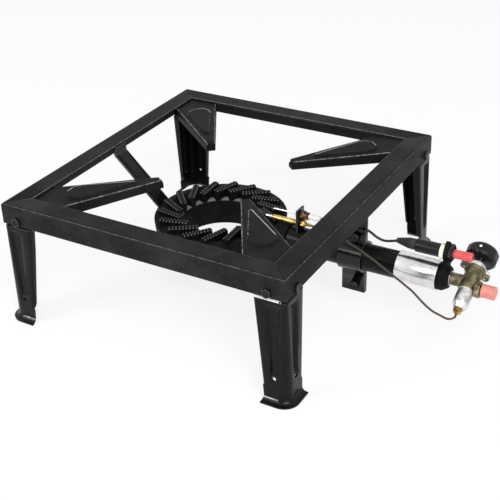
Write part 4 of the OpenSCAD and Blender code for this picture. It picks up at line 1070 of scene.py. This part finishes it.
def copied(node, name):
    """A free copy of a construction part, with its loose triangles joined."""
    piece = bpy.data.objects.new(name, frame["nodes"][node].data.copy())
    scene.collection.objects.link(piece)
    tidy(piece, recalculate=False)
    return piece


def cast(name, node, slot, voxel, rounds, finish=None):
    piece = copied(node, name)
    grid = piece.modifiers.new("sand", "REMESH")
    grid.mode, grid.voxel_size = "VOXEL", voxel * mm
    soft = piece.modifiers.new("soften", "SMOOTH")
    soft.factor, soft.iterations = 0.5, rounds
    settle(piece)
    return dress(piece, slot, "stove", node, angle=60, finish=finish)


# The end casting takes the darker iron as painted shade.
cast("cast_end", "mixer_end", "cast_black", 0.6, 5, finish="sooty_black")
cast("valve_casting", "valve_body", "olive_brass", 0.42, 5)
cast("bonnet_casting", "bonnet", "bright_alloy", 0.32, 4)

# %% [markdown]
# ## Folded and cut plates
# The clamp, the strip behind the burner and the pilot's bracket are cut from plate. They
# and the clamp's bolts and nuts keep their construction shape, but their edges are broken,
# because a real edge always catches a line of light. Only the broken edges are lightened,
# partly as wear and partly as painted highlight.

# %% Plates with broken edges


def softened(name, node, slot, width, finish):
    """A copy of a construction part whose edges over 30 degrees are broken."""
    piece = copied(node, name)
    work = bmesh.new()
    work.from_mesh(piece.data)
    bmesh.ops.dissolve_limit(work, angle_limit=math.radians(1), verts=work.verts, edges=work.edges)
    sharp = [edge for edge in work.edges
             if len(edge.link_faces) == 2 and edge.calc_face_angle() > math.radians(30)]
    made = bmesh.ops.bevel(work, geom=sharp, offset=width * mm, segments=2, affect="EDGES",
                           clamp_overlap=True)
    broken = set(made["faces"])
    # The bevel faces get a painted highlight, partly as wear.
    wear = work.verts.layers.float.new("wear")
    for vert in work.verts:
        vert[wear] = 1.0 if vert.link_faces and all(f in broken for f in vert.link_faces) else 0.0
    work.to_mesh(piece.data)
    work.free()
    return dress(piece, slot, "stove", node, angle=40, finish=finish)


for name, node, width, finish in (
        ("clamp_hanger_plate", "clamp_hanger", 0.5, "clamp_black"),
        ("clamp_saddle_plate", "clamp_saddle", 0.5, "clamp_black"),
        ("back_strip", "burner_strip", 0.5, "clamp_black"),
        ("pilot_plate", "pilot_bracket", 0.35, "clamp_black"),
        ("clamp_bolt_pair", "clamp_bolts", 0.6, "dark_bolt"),
        ("clamp_nut_pair", "clamp_nuts", 0.6, "dark_bolt")):
    softened(name, node, slots[node] if finish == "dark_bolt" else "black_paint", width, finish)

# %% [markdown]
# ## Turned parts at the front
# The sleeve, the magnet's cap, the nuts, the barrel and the rest are all turned, so each
# is an outline with rounded corners, spun about its own axis. The hexagons come from the
# same spin: where a row has a flat, its radius is cut back to it. The knob and the
# magnet share the stem's axis, which points to the right and a little up.

# %% Air sleeve and magnet
tube_z, valve_y = 82.0, -318.0
stem_right, stem_up = 0.920505, 0.390731
stem = Matrix.Translation((0, valve_y, tube_z)) @ Matrix(
    ((stem_up, 0, stem_right), (0, 1, 0), (-stem_right, 0, stem_up))).to_4x4()


def hex_bar(low, high, radius, crown=0.6, bore=0.0):
    """Outline of a hexagon between two heights, with both ends chamfered."""
    flat = radius * math.cos(math.pi / 6)
    return [(low, bore), (low, flat * 0.92), (low + crown * 0.6, radius, flat),
            (high - crown * 0.6, radius, flat), (high, flat * 0.92), (high, bore)]


lathe("sleeve_shell", "air_sleeve", "bright_steel", rounded([
    (0, 16.6, 0.2), (0, 18.08, 0.5), (0.9, 18.08, 0), (1.3, 17.9, 0), (48.7, 17.9, 0),
    (49.1, 18.08, 0), (50, 18.08, 0.5), (50, 16.6, 0.2)]),
    toward_front(-232, tube_z), 96, body="sleeve", closed=True)
lathe("magnet_shell", "magnet_cap", "bright_alloy", rounded([
    (-38, 3.06, 0), (-38, 5.9, 0.3), (-36.6, 6.4, 0.4), (-32.5, 8.9, 1.2), (-30, 9.35, 0.6),
    (-14.6, 9.35, 0.4), (-14.2, 9.0, 0.2), (-13.4, 9.0, 0.2), (-13, 9.4, 0.2), (-12, 9.4, 0.2),
    (-12, 6.45, 0), (-9, 6.45, 0.3), (-9, 5.4, 0), (-30, 5.4, 0), (-30, 3.06, 0)]),
    stem, 72, closed=True)
lathe("lead_hex", "lead_nut", "gold_brass", [(-45, 0), (-45, 2.1), (-44.6, 2.6), (-43.02, 2.6)]
      + hex_bar(-43, -38, 5.2)[1:], stem, 72)

# %% [markdown]
# ## Knob
# The knob is a black disc with a faintly fluted rim and a shallow ring on its face. It is
# turned like the others, but its radius also follows the angle. The white mark is a small
# disc on the rim, where the flutes leave a plain place for it.

# %% Knob
knob_low, knob_high, knob_r, knob_bore = 32.5, 48.5, 19.0, 3.05
flutes, flute_deep = 12, 0.35


def fluted(radius, angle):
    """The radius at an angle: cut back near the rim, but not beside the mark."""
    near_rim = ease((radius - 16.4) / 2.2)
    cut = 0.5 - 0.5 * math.cos(flutes * (angle - math.pi))
    off_mark = ease((abs(angle - math.pi) - 0.14) / 0.2)
    return radius - flute_deep * near_rim * cut * off_mark


lathe("knob_moulding", "knob", "black_plastic", rounded([
    (knob_low, knob_bore, 0), (knob_low, 17.0, 0.8), (knob_low + 1.2, 18.0, 0.8),
    (knob_low + 2.4, knob_r, 0.8), (knob_high - 3, knob_r, 1.6), (knob_high, 16.6, 1.6),
    (knob_high, 13.4, 0.5), (knob_high - 0.7, 12.8, 0.5), (knob_high - 0.7, 0, 0)]),
    stem, 144, angle=40, body="knob", reach=fluted,
    bore=[(knob_low, knob_bore), (47.0, knob_bore), (47.0, 0)])
mark_place = Matrix.Translation((-knob_r, 0, 40.5)) @ Matrix.Rotation(-math.pi / 2, 4, "Y")
lathe("knob_mark", "knob_dot", "white_paint",
      [(-1.2, 0), (-1.2, 1.6), (0.05, 1.6), (0.2, 1.3), (0.2, 0)],
      stem @ mark_place, 24, angle=50, body="knob")

# %% [markdown]
# ## Gas inlet
# A hexagon union with a male thread stands in front of the valve, and a soft pink cap is
# pushed on it for shipping. A cut thread this small reads as rings, so the outline simply
# goes up and down once for each turn.

# %% Inlet and its cap
inlet_x, inlet_z = -5.52, 79.66
thread = [(7 + 0.9 * k + d, 6.6 - cut) for k in range(16)
          for d, cut in ((0.0, 0.55), (0.3, 0.0), (0.6, 0.0)) if 7 + 0.9 * k + d < 21.8]
lathe("inlet_fitting", "inlet_union", "olive_brass", [(-0.9, 3.2), (-0.9, 5.0), (0, 5.0)]
      + hex_bar(0, 7, 9.6, 0.8)[1:-1] + [(7, 6.0)] + thread + [(22, 5.9), (22, 3.2)],
      toward_front(-326.5, inlet_z, inlet_x), 72, closed=True)
lathe("shipping_cap", "inlet_cap", "pink_plastic", rounded([
    (0, 6.68, 0), (0, 8.1, 0.5), (1.6, 8.1, 0.2), (2.0, 7.75, 0.3), (14.2, 7.9, 0.3),
    (15.8, 7.9, 1.4), (15.8, 5.2, 0.4), (15.3, 4.8, 0.4), (15.3, 0, 0)]),
    toward_front(-334.5, inlet_z, inlet_x), 64, body="cap",
    bore=[(0, 6.68), (14.3, 6.68), (14.3, 0)])

# %% [markdown]
# ## Igniter
# A black barrel carries a ribbed rubber boot behind, an ivory collar in front, then the
# casting's lug, a black lock nut on the threaded neck, and the glossy red button.

# %% Igniter
igniter_z = 115.0
boot = [(0, 0), (0, 2.6), (0.5, 3.2), (2.6, 3.2)]
for k in range(6):
    start, size = 2.8 + 2.3 * k, 3.9 + 0.5 * k
    boot += [(start, size - 0.9), (start + 0.5, size), (start + 1.5, size),
             (start + 2.0, size - 0.8)]
boot += rounded([(17, 6.2, 0.2), (17.4, 6.5, 0.2), (24, 6.5, 0.3), (24, 0, 0)])
lathe("boot_rubber", "igniter_boot", "black_rubber", boot, toward_front(-228, igniter_z),
      angle=40)

barrel = rounded([(0, 2.4, 0), (0, 7.4, 0.5), (1.0, 8, 0.4), (29, 8, 0.4), (30, 7.6, 0.3),
                  (30, 7.03, 0)])
barrel += [(30.0 + 0.8 * k + d, 7.03 - cut) for k in range(18)
           for d, cut in ((0.2, 0.35), (0.5, 0.0)) if 30 + 0.8 * k + d < 44.7]
barrel += rounded([(45, 6.7, 0), (45, 5.35, 0), (2, 5.35, 0), (2, 2.4, 0)])
lathe("igniter_barrel", "igniter_body", "black_plastic", barrel,
      toward_front(-252, igniter_z), 64, closed=True)
lathe("ivory_ring", "igniter_collar", "ivory_plastic", rounded([
    (0.02, 7.15, 0), (0.02, 9.5, 0.6), (3.6, 9.5, 0.3), (4.0, 9.1, 0.3), (4.98, 9.1, 0.4),
    (4.98, 7.15, 0)]), toward_front(-282, igniter_z), 64, closed=True)
lathe("lock_hex", "igniter_lock_nut", "dark_bolt", hex_bar(0.02, 5, 10.5, 1.0, 7.1),
      toward_front(-292, igniter_z), 72, closed=True)
lathe("button_cap", "igniter_button", "red_plastic", rounded([
    (0, 0, 0), (0, 5.25, 0.3), (28.6, 5.25, 0.2), (32, 5.2, 1.6), (31.6, 0, 0)]),
    toward_front(-287, igniter_z), 64, angle=50, body="button")

# %% [markdown]
# ## Pilot
# A thermocouple and a spark electrode stand one above the other in the bracket and point
# at the ribs. The thermocouple is a gold body with a steel tip, and the electrode a bent
# steel wire in a white ceramic.

# %% Pilot
probe_z, spark_z, bracket_front = 106.0, 118.0, -102.5
lathe("probe_tip", "thermocouple_head", "bright_steel", rounded([
    (-0.1, 0, 0), (0, 1.5, 0.9), (9.6, 1.5, 0), (9.6, 0, 0)]),
    toward_front(-54, probe_z), 32, angle=40)
probe = rounded([(9, 0, 0), (9, 2.4, 0.2), (10.2, 3.2, 0.5), (22, 3.2, 0.2), (22.4, 2.9, 0.2),
                 (23, 2.9, 0.2), (23.4, 3.2, 0.2), (39, 3.2, 0.5), (40, 2.6, 0.2), (48, 2.6, 0)])
probe += [(54.5, 2.6), (55, 2.3), (55, 2.0), (61, 2.0), (61.5, 1.7), (61.5, 0)]
lathe("probe_body", "thermocouple_head", "gold_brass", probe, toward_front(-54, probe_z),
      angle=35)
lathe("probe_hex", "probe_nut", "gold_brass", hex_bar(0.02, 6, 5.4, 0.7, 2.65),
      toward_front(bracket_front, probe_z), 72, closed=True)
lathe("spark_hex", "electrode_nut", "brown_brass", hex_bar(0.02, 6.5, 5.8, 0.7, 3.3)[:-1]
      + rounded([(6.5, 4.6, 0), (11.1, 4.6, 0.5), (11.5, 4.1, 0.3), (11.5, 3.3, 0)]),
      toward_front(bracket_front, spark_z), 72, closed=True)
lathe("spark_ceramic", "electrode_ceramic", "white_ceramic", rounded([
    (0, 1.05, 0), (0, 2.7, 0.5), (1.2, 3.25, 0.5), (33, 3.25, 0.8), (34, 2.6, 0.4), (34, 0, 0)]),
    toward_front(-96, spark_z), angle=35)

# %% [markdown]
# ## Springs and what stays as it is
# Two springs are pressed when the knob or the button goes in; here each is a plain copy of
# its construction part in bright steel, riding with the stove. All other construction parts
# have the right shape already. Each gets the finish that its material slot names, except the
# burner body, which gets the darker iron as painted shade, and the mixing tube, which gets the
# glossy black coat. Nothing else about them changes.

# %% Springs and carried-over parts


def spring(name, node, body):
    piece = copied(node, name)
    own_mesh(piece)
    return dress(piece, "bright_steel", body, node, angle=60)


spring("spindle_coil", "spindle_spring", "stove")
spring("button_coil", "igniter_spring", "stove")

# The burner body gets the darker iron as painted shade; the mixing tube gets the glossy coat.
darker = {"burner_body": "sooty_black", "mixing_tube": "tube_black"}
for name, node in frame["nodes"].items():
    node.data.materials.clear()
    node.data.materials.append(finishes[darker.get(name, slots[name])])
print("finishes given to", len(slots), "construction parts")
